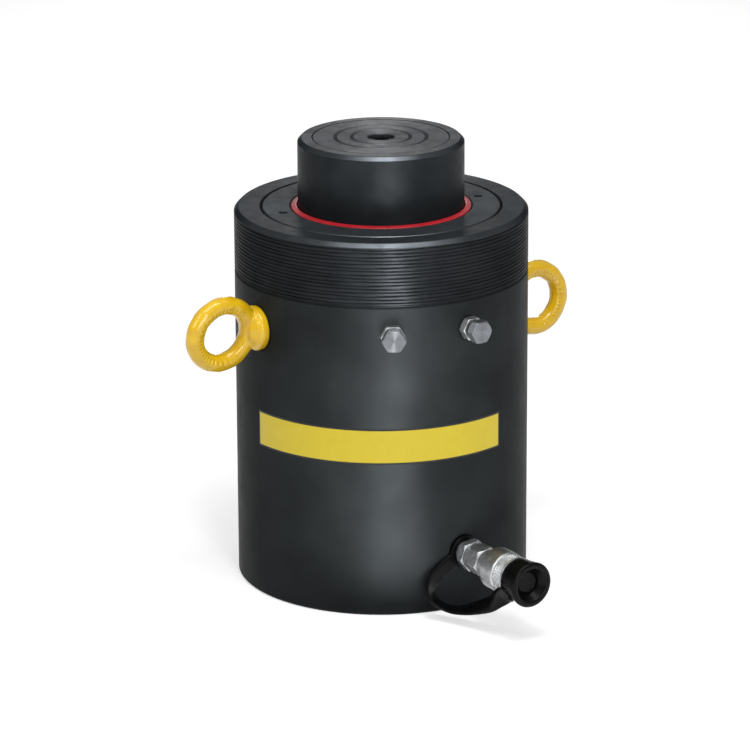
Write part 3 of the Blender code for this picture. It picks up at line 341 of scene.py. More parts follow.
# %% [markdown]
# ## The finishes
# Each finish starts from what the real one is: satin enamel sprayed on the casing, oil-blackened steel on
# the turned parts, zinc plate on the fittings, gloss enamel on the forged eyes, and moulded rubber and
# polyurethane. A real tool's lines lie about 0.2 mm apart, which is too fine to show, so they are drawn 0.5
# to 1.4 mm apart.

# %% Satin charcoal enamel on the casing
# Sprayed on and baked: dark and even, with a soft highlight and orange peel a millimetre or so across.
DULL_EDGE = (0.25, 0.25, 0.25, 1.0)     # a satin or oiled face stays dark where it is seen at a low angle
enamel = finish("satin_charcoal_enamel", ("#1b1d1e", "#242728"), 60, (0.40, 0.47), 25,
                [("GRAIN", 1.6, 0.03, 0.5, 1.0)], Metallic=0.45, Specular_IOR_Level=0.12,
                Specular_Tint=DULL_EDGE)
print("finish:", enamel.name)


# %% Oil-blackened turned steel
def blackened_steel(name, dark="#202224", light="#292c2f", rough=0.36, pitch=1.0, kind="RINGS", grain=0.0,
                    metal=0.6):
    """Turned steel, dipped in a blackening bath and oiled: nearly black, with the tool's lines still in it.

    The lines of an end face scatter light across them into two fans. So there the tangent runs round the
    axis, and grain says how far the highlight is drawn out.
    """
    mat = finish(name, (dark, light), 30, (rough - 0.04, rough + 0.05), 12, [(kind, pitch, 0.006, 0.6)],
                 Metallic=metal, Specular_IOR_Level=0.12, Specular_Tint=DULL_EDGE, Anisotropic=grain)
    if grain:
        tree = mat.node_tree
        round_axis = add_node(tree, "ShaderNodeTangent", direction_type="RADIAL", axis="Z")
        tree.links.new(round_axis.outputs["Tangent"], tree.nodes["Principled BSDF"].inputs["Tangent"])
    return mat


# %% Bright zinc plate
def zinc_plate(name, place, pitch=0.8, kind="BANDS", face=False, rough=0.31, dark="#bfc2c4", light="#d3d5d6"):
    """Zinc from a plating bath over machined steel: pale, faintly clouded, with the lathe's lines under it.

    A turned end face scatters light across its rings. Its tangent is the cross product of the way out from
    its middle and its axis.
    """
    mat = finish(name, (dark, light), 5, (rough - 0.05, rough + 0.05), 2.5,
                 [(kind, pitch, 0.003, 0.6), ("GRAIN", 1.5, 0.006, 0.35)], place, Metallic=1.0,
                 Anisotropic=0.9 if face else 0.2, Anisotropic_Rotation=0.25 if face else 0.0)
    if face:
        tree = mat.node_tree
        outwards = add_node(tree, "ShaderNodeVectorMath", {
            0: add_node(tree, "ShaderNodeTexCoord").outputs["Object"], 1: place.translation * MM},
            operation="SUBTRACT")
        ring_way = add_node(tree, "ShaderNodeVectorMath", {
            0: outwards.outputs[0], 1: place.to_3x3() @ Vector((0, 0, 1))}, operation="CROSS_PRODUCT")
        tree.links.new(ring_way.outputs[0], tree.nodes["Principled BSDF"].inputs["Tangent"])
    return mat


# %% Gloss enamel on a forging
# Thick gloss enamel over a drop forging: strong colour, a wet highlight and the forging's soft lumps.
eye_yellow = finish("gloss_yellow_enamel", ("#e2b30a", "#eec31a"), 14, (0.26, 0.38), 8,
                    [("GRAIN", 2.2, 0.1, 0.7, 2.0)], Coat_Weight=0.8, Coat_Roughness=0.08,
                    Specular_IOR_Level=0.3)
print("finish:", eye_yellow.name)


# %% Moulded rubber, polyurethane and other polymers
def moulded(name, dark, light, rough, grain_mm=0.9, depth_mm=0.02, **sockets):
    """A moulded polymer: an even colour, and a soft sheen broken by the grain of the mould's own surface.

    The real grain is about 0.2 mm, and is drawn coarser, so that it shows.
    """
    return finish(name, (dark, light), 9, (rough - 0.05, rough + 0.06), 6,
                  [("GRAIN", grain_mm, depth_mm, 0.6, 2.0)], **sockets)


rubber = moulded("moulded_black_rubber", "#050506", "#0b0b0c", 0.3, Specular_IOR_Level=0.14)
wiper_red = moulded("moulded_red_polyurethane", "#ac1822", "#c0252f", 0.38)
print("finishes:", rubber.name, "and", wiper_red.name)


# %% Plain machined metals inside
def machined(name, dark, light, rough, pitch, place=None):
    """Turned or drawn metal left bright: its own colour, and lines along it that draw a highlight out."""
    return finish(name, (dark, light), 10, (rough - 0.04, rough + 0.06), 7,
                  [("BANDS", pitch, 0.01, 0.6)], place, Metallic=1.0)


# %% [markdown]
# ## The casing
# One heavy forging, bored from the top. Its rim carries a coarse collar thread, by which the cylinder is
# clamped in a frame. The wall is one grid: the thread is a helix, so its radius depends on the height and
# on the angle together, and the rim's chamfer cuts across it as the lathe would.

# %% The casing and its collar thread
BODY_HEIGHT = 358.0
FOOT_CHAMFER = 2.2
RIM_CHAMFER = 4.0
RIM_EASE = 0.3                      # the corner between the rim's chamfer and the top face is eased by this
RING_CHAMFER = 1.4                  # on the stop ring and on its seat
BORE_CORNER = 3.0                   # slope between the bore and its floor
THREAD_LOW = 299.0                  # height where the thread begins
THREAD_RELIEF = (2.0, 1.1)          # width and depth of the groove where the thread runs out
THREAD_PITCH = 3.35
THREAD_DEPTH = 0.75
THREAD_GROOVE = 0.45                # share of the pitch that the groove takes
THREAD_RUN_IN = 1.5                 # height over which the groove grows to its full depth
THREAD_ROW = 0.4                    # height of one row of the grid
STOP_RING_RADIUS = 112.0
STOP_RING_FLOOR = 293.5
BORE_RADIUS = 105.0
BORE_FLOOR = 47.5
SEAT_GAP = 0.3                      # between any two pieces that fit together
CLEAR = 1.0                         # a cutter reaches this far past the face it cuts
COLUMNS = 288                       # of the casing's grid


def thread_radius(turn, height):
    """Radius of the thread, less a groove of V form, V = 1 - |2u - 1| / w.

    Here u is the fraction of height / pitch - turn / 2 pi, and w is the groove's share of the pitch.
    """
    phase = (height / THREAD_PITCH - turn / (2 * np.pi)) % 1.0
    groove = np.clip(1 - np.abs(2 * phase - 1) / THREAD_GROOVE, 0, 1)
    grown = np.clip((height - THREAD_LOW - THREAD_RELIEF[1]) / THREAD_RUN_IN, 0, 1)
    return BODY_RADIUS - THREAD_DEPTH * groove * grown


def build_casing():
    """The casing: foot, wall, thread relief, thread, rim and bore as one closed grid."""
    relief_width, relief_depth = THREAD_RELIEF
    foot = rounded([(0, 0), (BODY_RADIUS - FOOT_CHAMFER, 0), (BODY_RADIUS, FOOT_CHAMFER),
                    (BODY_RADIUS, THREAD_LOW - relief_width),
                    (BODY_RADIUS - relief_depth, THREAD_LOW - relief_width + relief_depth),
                    (BODY_RADIUS - relief_depth, THREAD_LOW)], 0.5)
    turn = 2 * np.pi * np.arange(COLUMNS) / COLUMNS
    heights = np.arange(THREAD_LOW + relief_depth, BODY_HEIGHT, THREAD_ROW)[:, None]
    wall = thread_radius(turn[None, :], heights)
    wall = np.minimum(wall, BODY_RADIUS - RIM_CHAMFER + BODY_HEIGHT - heights)
    thread = np.stack([wall, np.broadcast_to(heights, wall.shape)], axis=-1)
    rim = BODY_RADIUS - RIM_CHAMFER
    seat = STOP_RING_RADIUS + SEAT_GAP
    bore = rounded([(rim + RIM_EASE, BODY_HEIGHT - RIM_EASE), (rim - RIM_EASE, BODY_HEIGHT),
                    (seat + RING_CHAMFER, BODY_HEIGHT), (seat, BODY_HEIGHT - RING_CHAMFER),
                    (seat, STOP_RING_FLOOR - SEAT_GAP), (BORE_RADIUS, STOP_RING_FLOOR - SEAT_GAP),
                    (BORE_RADIUS, BORE_FLOOR + BORE_CORNER), (BORE_RADIUS - BORE_CORNER, BORE_FLOOR),
                    (0, BORE_FLOOR)], 0.4)
    wide = [np.repeat(rows[:, None], COLUMNS, axis=1) for rows in (foot, bore)]
    return skin("casing", spin(np.concatenate([wide[0], thread, wide[1]])))


casing = build_casing()
print("wall, thread and bore:", len(casing.data.polygons), "faces")


# %% The holes for the port, the vents and the eyes
def drilled(angle, height, steps):
    """A cutter for a stepped radial hole. Each step is a diameter and how far from the axis it starts."""
    outside = BODY_RADIUS + CLEAR
    profile = [(0, steps[0][1])]
    for (diameter, start), (_, end) in zip(steps, [*steps[1:], (0, outside)]):
        profile += [(diameter / 2, start), (diameter / 2, end)]
    points = spin(profile + [(0, outside)], 64)
    return skin("drill", put(points, radial_place(angle, height)))


PORT_HEIGHT = 56.0
PORT_SEAT = 136.23                  # a seat is a flat, spot-faced this far from the casing's axis
PORT_STEPS = [(10, 102), (17.7, 122.2), (32.6, PORT_SEAT)]
VENT_HEIGHT = 272.3
VENT_SEAT = 136.64
VENT_STEPS = [(5, 102), (13.8, 120.6), (24.7, VENT_SEAT)]
VENT_ANGLES = {"front": math.radians(2), "side": math.radians(-29)}
EYE_SEAT = 135.46
EYE_STEPS = [(20.6, 112), (43.6, EYE_SEAT)]
# each eye's angle round the casing, its height, and how far it is screwed past upright
EYES = {"left": (-math.pi / 2, 261.0, math.radians(-8)), "right": (math.pi / 2, 238.0, math.radians(-2))}
combine(casing, drilled(0, PORT_HEIGHT, PORT_STEPS), "DIFFERENCE")
for angle in VENT_ANGLES.values():
    combine(casing, drilled(angle, VENT_HEIGHT, VENT_STEPS), "DIFFERENCE")
for angle, height, _ in EYES.values():
    combine(casing, drilled(angle, height, EYE_STEPS), "DIFFERENCE")
tidy(casing)
print("casing:", len(casing.data.polygons), "faces")

# %% The casing's four finishes
# The wall is enamel. The thread is left free of it and blackened, with the tool's lines along its turns.
# The rim's face is blackened too, and painted a lighter grey: painted light from above. Its chamfer is rubbed
# bare and painted lighter still, partly a painted highlight, and draws a thin light line.
THREAD_BLACK = dict(dark="#1b1d1f", light="#232527", rough=0.3, pitch=THREAD_PITCH / 4, kind="BANDS")
# a lighter grey than the thread for the end faces of rim and stop ring: painted light from above
RIM_BLACK_PAINTED_LIGHT = dict(dark="#34383b", light="#3e4246", rough=0.46, metal=0.4, grain=0.8)
# a still lighter, more metallic grey on the chamfers: partly rubbed bare steel, partly a painted highlight
EDGE_BARE_AND_HIGHLIGHT = dict(dark="#484c50", light="#54585c", rough=0.32, metal=0.9)
FACE_MARGIN = 0.2                   # a face whose middle is this close to the top belongs to the top
give(casing, enamel)
casing.data.materials.append(blackened_steel("blackened_thread", **THREAD_BLACK))
casing.data.materials.append(blackened_steel("blackened_rim_face", **RIM_BLACK_PAINTED_LIGHT))
casing.data.materials.append(blackened_steel("rubbed_bright_rim_edge", **EDGE_BARE_AND_HIGHLIGHT))
out, height = face_middles(casing)
on_thread = (height > THREAD_LOW - 1) & (out > STOP_RING_RADIUS)
on_rim = on_thread & (height > BODY_HEIGHT - FACE_MARGIN)
on_edge = on_thread & (height + out > BODY_HEIGHT + BODY_RADIUS - RIM_CHAMFER - RIM_EASE) & ~on_rim
finishes = np.select([on_rim, on_edge, on_thread], [2, 3, 1], 0)
casing.data.polygons.foreach_set("material_index", finishes)
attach(casing, "casing")
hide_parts("cylinder_body")
print("faces of enamel, thread, rim and edge:", np.bincount(finishes).tolist())

# %% [markdown]
# ## Stop ring, wiper, plunger and saddle
# These are plain lathe work, so each is a profile spun round the axis. The end faces keep the tool's rings,
# which catch the light in two bright fans. The red wiper is the one soft line between them.

# %% The stop ring
PLUNGER_RADIUS = 77.8
WIPER_INNER = PLUNGER_RADIUS + SEAT_GAP
WIPER_WIDTH = 6.0
WIPER_HEIGHT = 10.7
WIPER_LIP = 1.2                     # the lip rises this far over the rim, and leans out by as much
SPANNER_HOLE = (8.0, 12.0, 95.0, math.radians(74))   # diameter, depth, radius from the axis, angle
SPANNER_POINT = 2.0                 # depth of the drill's point below the hole
SPANNER_CHAMFER = 0.5
EDGE_MARGIN = 0.1                   # an edge's finish reaches this far past its chamfer


def build_stop_ring():
    """The ring in the mouth of the casing, cut for its seals, with two blind spanner holes."""
    top = BODY_HEIGHT
    seat = WIPER_INNER + WIPER_WIDTH + SEAT_GAP
    ring = turned("stop_ring_turned", [
        (WIPER_INNER, STOP_RING_FLOOR), (STOP_RING_RADIUS, STOP_RING_FLOOR),
        (STOP_RING_RADIUS, top - RING_CHAMFER), (STOP_RING_RADIUS - RING_CHAMFER, top),
        (seat + RING_CHAMFER, top), (seat, top - RING_CHAMFER), (seat, top - WIPER_HEIGHT - SEAT_GAP),
        (WIPER_INNER, top - WIPER_HEIGHT - SEAT_GAP)], 0.4, 256, ring=True)
    diameter, depth, out, angle = SPANNER_HOLE
    edge = diameter / 2
    floor = top - depth
    profile = [(0, floor - SPANNER_POINT), (edge, floor), (edge, top - SPANNER_CHAMFER),
               (edge + SPANNER_CHAMFER + CLEAR, top + CLEAR), (0, top + CLEAR)]
    for turn in (angle, angle + math.pi):
        place = Matrix.Translation((out * math.sin(turn), -out * math.cos(turn), 0))
        combine(ring, skin("spanner_hole", put(spin(profile, 48), place)), "DIFFERENCE")
    return tidy(ring)


# The stop ring and the saddle are painted a lighter grey than the thread, painted light from above on their
# end faces, and the saddle's end face is turned like the ring's. The rubbed edges are painted lighter still,
# partly a painted highlight.
ring_black_painted_light = blackened_steel("blackened_turned_ring", **RIM_BLACK_PAINTED_LIGHT)
edge_bare_and_highlight = blackened_steel("rubbed_bright_edge", **EDGE_BARE_AND_HIGHLIGHT)
saddle_black_painted_light = blackened_steel("blackened_saddle", dark="#434649", light="#4f5256", rough=0.38, pitch=0.9,
                               grain=0.8)
stop_ring = give(build_stop_ring(), ring_black_painted_light)
ring_edge = RING_CHAMFER + EDGE_MARGIN
# the ring's chamfer gets the lighter edge grey, partly a painted highlight
rim_band_finish(stop_ring, BODY_HEIGHT - ring_edge, STOP_RING_RADIUS, ring_edge, edge_bare_and_highlight)
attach(stop_ring, "casing")
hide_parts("stop_ring")
print("stop ring:", len(stop_ring.data.polygons), "faces")

# %% Sizes of the plunger, the saddle and its screw
PLUNGER_TOP = 423.0
SADDLE_RADIUS = 64.0
SADDLE_THICKNESS = 22.0
SADDLE_CHAMFER = 0.8
SADDLE_GROOVES = (27.3, 42.6)       # radii of the two turned grooves
GROOVE_HALF = 1.8                   # half a groove's width, and its depth
SCREW_HEAD = 12.0                   # radius of the screw's head
SCREW_CROWN = 2.5                   # the head's top lies this far below the saddle's face
SCREW_LAND = 17.0                   # and its underside this far
SCREW_RADIUS = 8.0
SCREW_TIP = 28.0                    # the screw ends this far below the saddle's seat
SCREW_HOLE_END = 30.0               # and its hole this far
SCREW_CHAMFER = 1.0
SOCKET_FLATS = 14.0
SOCKET_DEPTH = 8.0
SOCKET_CHAMFER = 0.5
PLUNGER_CHAMFER = 3.6
PLUNGER_LAND = 13.0                 # width of the plunger's end face round the saddle
PISTON_FLOOR = 109.8
SPIGOT_START = 2.0                  # start of the spigot that carries the piston, above the piston's floor
SPIGOT_END = 90.4                   # and its end
SPIGOT_RADIUS = 60.0
SPIGOT_CHAMFER = 2.0
SPIGOT_GROOVE = (46.3, 50.9, 56.0)  # start, end and radius of the groove in it for a rubber ring
saddle_seat = PLUNGER_TOP - SADDLE_THICKNESS
screw_hole = SCREW_RADIUS + SEAT_GAP
print("top:", PLUNGER_TOP, "mm, seat of the saddle at", saddle_seat)

# %% The wiper
wiper = turned("wiper", [
    (WIPER_INNER + WIPER_LIP, BODY_HEIGHT - WIPER_HEIGHT),
    (WIPER_INNER + WIPER_WIDTH, BODY_HEIGHT - WIPER_HEIGHT), (WIPER_INNER + WIPER_WIDTH, BODY_HEIGHT),
    (WIPER_INNER + WIPER_LIP, BODY_HEIGHT + WIPER_LIP), (WIPER_INNER, BODY_HEIGHT)], 0.6, 256, ring=True)
give(wiper, wiper_red)
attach(wiper, "casing")
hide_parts("wiper_seal")
print("wiper:", len(wiper.data.polygons), "faces")

# %% The plunger
recess = SADDLE_RADIUS + SEAT_GAP
spigot = PISTON_FLOOR + SPIGOT_START
groove_low, groove_high, groove_radius = SPIGOT_GROOVE
plunger = turned("plunger_rod", [
    (0, spigot), (SPIGOT_RADIUS - SPIGOT_CHAMFER, spigot), (SPIGOT_RADIUS, spigot + SPIGOT_CHAMFER),
    (SPIGOT_RADIUS, PISTON_FLOOR + groove_low), (groove_radius, PISTON_FLOOR + groove_low),
    (groove_radius, PISTON_FLOOR + groove_high), (SPIGOT_RADIUS, PISTON_FLOOR + groove_high),
    (SPIGOT_RADIUS, PISTON_FLOOR + SPIGOT_END), (PLUNGER_RADIUS, PISTON_FLOOR + SPIGOT_END),
    (PLUNGER_RADIUS, PLUNGER_TOP - PLUNGER_CHAMFER), (PLUNGER_RADIUS - PLUNGER_CHAMFER, PLUNGER_TOP),
    (recess, PLUNGER_TOP), (recess, saddle_seat - SEAT_GAP), (screw_hole, saddle_seat - SEAT_GAP),
    (screw_hole, saddle_seat - SCREW_HOLE_END), (0, saddle_seat - SCREW_HOLE_END)], 0.5, 256)
# The rod is ground and then blackened, so it is smoother than the turned faces. It is darker than the end
# faces, which are painted lighter with light from above.
give(plunger, blackened_steel("blackened_ground_rod", dark="#1b1e20", light="#232628", rough=0.42,
                              pitch=1.4, kind="BANDS", metal=0.25))
# the plunger's end face takes the saddle's lighter grey, painted light from above
rim_band_finish(plunger, PLUNGER_TOP - FACE_MARGIN, PLUNGER_RADIUS, PLUNGER_LAND, saddle_black_painted_light)
# the plunger's chamfer gets the lighter edge grey, partly a painted highlight
rim_band_finish(plunger, PLUNGER_TOP - PLUNGER_CHAMFER - EDGE_MARGIN, PLUNGER_RADIUS,
           PLUNGER_CHAMFER + FACE_MARGIN, edge_bare_and_highlight)
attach(plunger, "plunger")
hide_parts("plunger")
print("plunger:", len(plunger.data.polygons), "faces")

# %% The saddle
groove_points = []
for radius in reversed(SADDLE_GROOVES):
    groove_points += [(radius + GROOVE_HALF, PLUNGER_TOP), (radius, PLUNGER_TOP - GROOVE_HALF),
                      (radius - GROOVE_HALF, PLUNGER_TOP)]
head_hole = SCREW_HEAD + SEAT_GAP
head_seat = PLUNGER_TOP - SCREW_LAND - SEAT_GAP
saddle = turned("saddle_plate", [
    (screw_hole, saddle_seat), (SADDLE_RADIUS, saddle_seat), (SADDLE_RADIUS, PLUNGER_TOP - SADDLE_CHAMFER),
    (SADDLE_RADIUS - SADDLE_CHAMFER, PLUNGER_TOP), *groove_points, (head_hole + SADDLE_CHAMFER, PLUNGER_TOP),
    (head_hole, PLUNGER_TOP - SADDLE_CHAMFER), (head_hole, head_seat), (screw_hole, head_seat)],
    0.3, 256, ring=True)
give(saddle, saddle_black_painted_light)
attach(saddle, "plunger")
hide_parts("saddle")
print("saddle:", len(saddle.data.polygons), "faces")


# %% The saddle's screw
def soft_hexagon(turn, flats, sharpness=40):
    """Radius at an angle of a hexagon with slightly rounded corners.

    It is half the flats over the p-norm of the cosines of the angles to its six sides, p being the sharpness.
    """
    sides = np.arange(6)[:, None] * np.pi / 3
    facing = np.clip(np.cos(turn[None, :] - sides), 0, 1)
    return flats / 2 / np.sum(facing ** sharpness, axis=0) ** (1 / sharpness)


def build_saddle_screw():
    """The socket screw: a round head with a hexagon socket, one grid from the socket's floor to the tip."""
    crown = PLUNGER_TOP - SCREW_CROWN
    land = PLUNGER_TOP - SCREW_LAND
    tip = saddle_seat - SCREW_TIP
    floor = crown - SOCKET_DEPTH
    columns = 192
    turn = 2 * np.pi * np.arange(columns) / columns
    hexagon = soft_hexagon(turn + np.pi / 6, SOCKET_FLATS)
    full = np.ones(columns)
    middle = np.broadcast_to((0.0, floor), (1, columns, 2))
    socket = np.stack([np.stack([hexagon, floor * full], -1),
                       np.stack([hexagon, (crown - SOCKET_CHAMFER) * full], -1),
                       np.stack([hexagon + SOCKET_CHAMFER, crown * full], -1)])
    outside = np.array([(SCREW_HEAD - SCREW_CHAMFER, crown), (SCREW_HEAD, crown - SCREW_CHAMFER),
                        (SCREW_HEAD, land), (SCREW_RADIUS, land), (SCREW_RADIUS, tip + SCREW_CHAMFER),
                        (SCREW_RADIUS - SCREW_CHAMFER, tip), (0, tip)])
    profile = np.concatenate([middle, socket, np.repeat(outside[:, None], columns, axis=1)])
    return skin("saddle_socket_screw", spin(rounded(profile, 0.3)))


screw = give(build_saddle_screw(), blackened_steel("blackened_screw", pitch=0.7))
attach(screw, "plunger")
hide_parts("saddle_screw")
print("screw:", len(screw.data.polygons), "faces")

# %% [markdown]
# ## The lifting eyes
# A lifting eye is drop forged in one piece: a ring, a short neck that flows into it and a round flange.
# Joining two solids leaves a crease that no forging has, so the ring and the stem are fused by a fine
# remesh and relaxed, and then the surface is pushed in and out by a soft noise, as the scale on a forging
# does.

# %% Sizes of a lifting eye, and its ring
EYE_WIRE = 8.5                      # radius of the ring's section
EYE_RING = 28.5                     # radius of the ring's middle line
EYE_CENTRE = EYE_SEAT + 40          # middle of the ring
SHANK_TIP = 114.0                   # the threaded shank's end, from the casing's axis
SHANK_RADIUS = 10.0
SHANK_CHAMFER = 1.5
EYE_FLANGE = [(20, 0), (21, 1), (21, 7), (18, 10), (13, 13)]    # radius and height above the seat
NECK_TOP = (10.5, 24.0)             # radius of the neck's top, and how far it is below the ring's middle
EYE_VOXEL = 0.75
EYE_RELAX = 9                       # rounds of smoothing
LUMP_SIZE = 9.0
LUMP_HEIGHT = 0.14
LUMP_WAVES = 24
LUMP_SEED = 7
LUMP_CLEAR = 2.0                    # the flange's foot stays smooth up to this height above its seat
LUMP_FADE = 6.0                     # the lumps and dents grow to their full depth over this height
MARK_COUNT = 38
MARK_PLACE = math.radians(108)      # where the row of dents lies round the ring's section
MARK_WIDTH = math.radians(13)
MARK_DEPTH = 1.1
MARK_START = 0.7                    # the row fades out this share of the ring's radius below its middle
MARK_SWAY = 3                       # the dents are uneven by so many radians, and so many times round
MARK_POWER = 3                      # a higher power makes the dents narrower


def torus(columns=144, rows=48):
    """The ring: (R + r cos v) carried round its centre, in the plane of the eye's Y and Z."""
    u = np.linspace(0, 2 * np.pi, columns, endpoint=False)[None, :]
    v = np.linspace(0, 2 * np.pi, rows + 1)[:, None]
    out = EYE_RING + EYE_WIRE * np.cos(v)
    shape = np.broadcast_to(EYE_WIRE * np.sin(v), (rows + 1, columns))
    return np.stack([shape, out * np.cos(u), out * np.sin(u) + EYE_CENTRE], axis=-1)


# %% The forging's lumps and dents
def lumps(points, size):
    """A smooth random height at each point: a sum of sine waves in seeded directions, about -1 to 1."""
    rng = np.random.default_rng(LUMP_SEED)
    direction = rng.normal(size=(LUMP_WAVES, 3))
    direction /= np.linalg.norm(direction, axis=1, keepdims=True)
    length = size * rng.uniform(0.8, 2.0, LUMP_WAVES)
    phase = rng.uniform(0, 2 * np.pi, LUMP_WAVES)
    waves = np.sin(points @ direction.T * 2 * np.pi / length + phase)
    return waves.sum(axis=1) / math.sqrt(LUMP_WAVES / 2)


def trim_marks(points):
    """Small dents where the forging was trimmed, in a row round the ring's inner flanks.

    Each dent is a power of a cosine along the ring and a bell curve across it.
    """
    x, y, z = points.T
    around = np.arctan2(z - EYE_CENTRE, y)
    flank = np.arctan2(np.abs(x), np.hypot(y, z - EYE_CENTRE) - EYE_RING)
    row = np.exp(-((flank - MARK_PLACE) / MARK_WIDTH) ** 2)
    far_side = np.clip((z - EYE_CENTRE) / EYE_RING + MARK_START, 0, 1)
    dents = 0.5 + 0.5 * np.cos(MARK_COUNT * around + MARK_SWAY * np.sin(MARK_SWAY * around))
    return MARK_DEPTH * row * far_side * dents ** MARK_POWER


# %% Building the two eyes
def build_eye(name, angle, height, twist):
    """Fuse ring and stem in the eye's own axes, relax the join, add the lumps and put it in place."""
    seat = EYE_SEAT + SEAT_GAP
    ring = skin(name, torus())
    neck_radius, neck_drop = NECK_TOP
    neck = EYE_CENTRE - neck_drop
    stem = skin("stem", spin(rounded([
        (0, SHANK_TIP), (SHANK_RADIUS - SHANK_CHAMFER, SHANK_TIP), (SHANK_RADIUS, SHANK_TIP + SHANK_CHAMFER),
        (SHANK_RADIUS, seat), *[(radius, seat + rise) for radius, rise in EYE_FLANGE],
        (neck_radius, neck), (0, neck)], 0.8), 96))
    combine(ring, stem, "UNION")
    remesh = ring.modifiers.new("remesh", "REMESH")
    remesh.mode = "VOXEL"
    remesh.voxel_size = EYE_VOXEL * MM
    relax = ring.modifiers.new("relax", "SMOOTH")
    relax.iterations = EYE_RELAX
    mesh = settle(ring).data
    count = len(mesh.vertices)
    points = np.zeros(count * 3)
    normals = np.zeros(count * 3)
    mesh.vertices.foreach_get("co", points)
    mesh.vertices.foreach_get("normal", normals)
    points = points.reshape(-1, 3) / MM
    free = np.clip((points[:, 2] - seat - LUMP_CLEAR) / LUMP_FADE, 0, 1)
    relief = LUMP_HEIGHT * lumps(points, LUMP_SIZE) - trim_marks(points)
    points += normals.reshape(-1, 3) * (relief * free)[:, None]
    mesh.vertices.foreach_set("co", (put(points, radial_place(angle, height, twist)) * MM).ravel())
    mesh.update()
    return tidy(ring)


for side, (angle, height, twist) in EYES.items():
    lifting_eye = give(build_eye("lifting_eye_" + side, angle, height, twist), eye_yellow)
    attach(lifting_eye, "casing")
    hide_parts("eye_bolt_" + side)
    print(lifting_eye.name, len(lifting_eye.data.polygons), "faces")

# %% [markdown]
# ## Hexagon fittings
# A hexagon nut or plug is a hexagon bar with its corners turned off by a cone. Seen as a grid, every column
# is a profile of its own: the flat starts later where the corner reaches further out, and that gives the
# curved edges that a real nut has.

# %% A turned hexagon
NUT_COLUMNS = 240
LEAST_CONE = 0.05                   # every column keeps at least this much of the cone, in mm outwards


def hexagon_rows(flats, start, end, back, front, turn):
    """Profiles, column by column, of a hexagon bar between two cones.

    back and front are (radius at the cone's foot, rise of the cone for each mm outwards).
    """
    angle = 2 * np.pi * np.arange(NUT_COLUMNS) / NUT_COLUMNS
    side = soft_hexagon(angle - turn, flats)
    rises = [np.clip(side - foot, LEAST_CONE, None) * slope for foot, slope in (back, front)]
    full = np.ones(NUT_COLUMNS)
    rows = [(back[0] * full, start * full), (side, start + rises[0]), (side, end - rises[1]),
            (front[0] * full, end * full)]
    return np.stack([np.stack(row, axis=-1) for row in rows])


def steady_rows(points):
    """Profile points that are the same in every column."""
    return np.repeat(np.asarray(points, float)[:, None], NUT_COLUMNS, axis=1)


def fitting(name, parts, place, reach=0.35):
    """One grid through several stretches of profile, rounded at its corners and put in place."""
    rows = rounded(np.concatenate(parts), reach)
    return skin(name, put(spin(rows), place))


# %% The two vent fittings
VENT_FLATS = 20.0
VENT_TURN = math.radians(30)
CORNER_CONE = 0.55                  # rise of the cone that turns off a corner, for each mm outwards
CONE_INSET = 0.2                    # the cone's foot lies this far inside the flats
VENT_WASHER = (6.9, 9.5, 1.6)       # inner and outer radius, and thickness
ADAPTER_SHANK = (6.6, 14.0)         # radius, and length in the wall
ADAPTER_HEAD = 8.0
ADAPTER_BORE = (5.1, 15.0)          # radius and depth
PLUG_COLLAR = (7.5, 1.8)            # radius of the plug's collar, and its height and that of the seal's room
PLUG_SHANK = (4.8, 14.0)
PLUG_HEAD = 9.0
PLUG_DIMPLE = (1.2, 0.4)            # radius and depth of the turning centre in the head


def build_vent(name, angle):
    """Washer, hexagon adapter, seal and hexagon plug, one behind the other along the vent's axis."""
    place = radial_place(angle, VENT_HEIGHT)
    land = VENT_FLATS / 2 - CONE_INSET
    cone = (land, CORNER_CONE)
    inner, outer, thick = VENT_WASHER
    low = VENT_SEAT + SEAT_GAP
    high = low + thick
    washer = turned("vent_sealing_washer_" + name, [(inner, low), (outer, low), (outer, high), (inner, high)],
                    0.4, 96, place, ring=True)
    give(washer, rubber)
    shank, length = ADAPTER_SHANK
    bore, depth = ADAPTER_BORE
    low = high + SEAT_GAP
    high = low + ADAPTER_HEAD
    adapter = fitting("vent_hexagon_adapter_" + name, [
        steady_rows([(0, VENT_SEAT - length), (shank, VENT_SEAT - length), (shank, low)]),
        hexagon_rows(VENT_FLATS, low, high, cone, cone, VENT_TURN),
        steady_rows([(bore, high), (bore, high - depth), (0, high - depth)])], place)
    give(adapter, zinc_plate("zinc_plate_adapter_" + name, place, rough=0.44))
    collar_radius, collar_height = PLUG_COLLAR
    low = high + SEAT_GAP
    neck = low + collar_height
    seal_top = neck - SEAT_GAP
    seal = turned("vent_bonded_seal_" + name, [(bore, low), (collar_radius, low), (collar_radius, seal_top),
                                               (bore, seal_top)], 0.3, 96, place, ring=True)
    give(seal, rubber)
    shank, length = PLUG_SHANK
    dimple, dip = PLUG_DIMPLE
    head = neck + collar_height
    top = head + PLUG_HEAD
    plug = fitting("vent_hexagon_plug_" + name, [
        steady_rows([(0, high - length), (shank, high - length), (shank, neck), (collar_radius, neck),
                     (collar_radius, head)]),
        hexagon_rows(VENT_FLATS, head, top, cone, (land - SEAT_GAP, CORNER_CONE), VENT_TURN),
        steady_rows([(dimple, top), (0, top - dip)])], place)
    # the plugs' zinc is painted a darker grey: painted shade that tones down the lamps' reflection in their
    # faces
    give(plug, zinc_plate("zinc_plate_plug_" + name, place, 0.7, "RINGS", face=True, rough=0.4,
                          dark="#83868a", light="#919498"))
    for piece, node in ((washer, "vent_washer_"), (adapter, "vent_adapter_"), (seal, "vent_seal_"),
                        (plug, "vent_plug_")):
        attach(piece, "casing")
        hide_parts(node + name)
    return plug


for name, angle in VENT_ANGLES.items():
    plug = build_vent(name, angle)
    print(plug.name, len(plug.data.polygons), "faces")

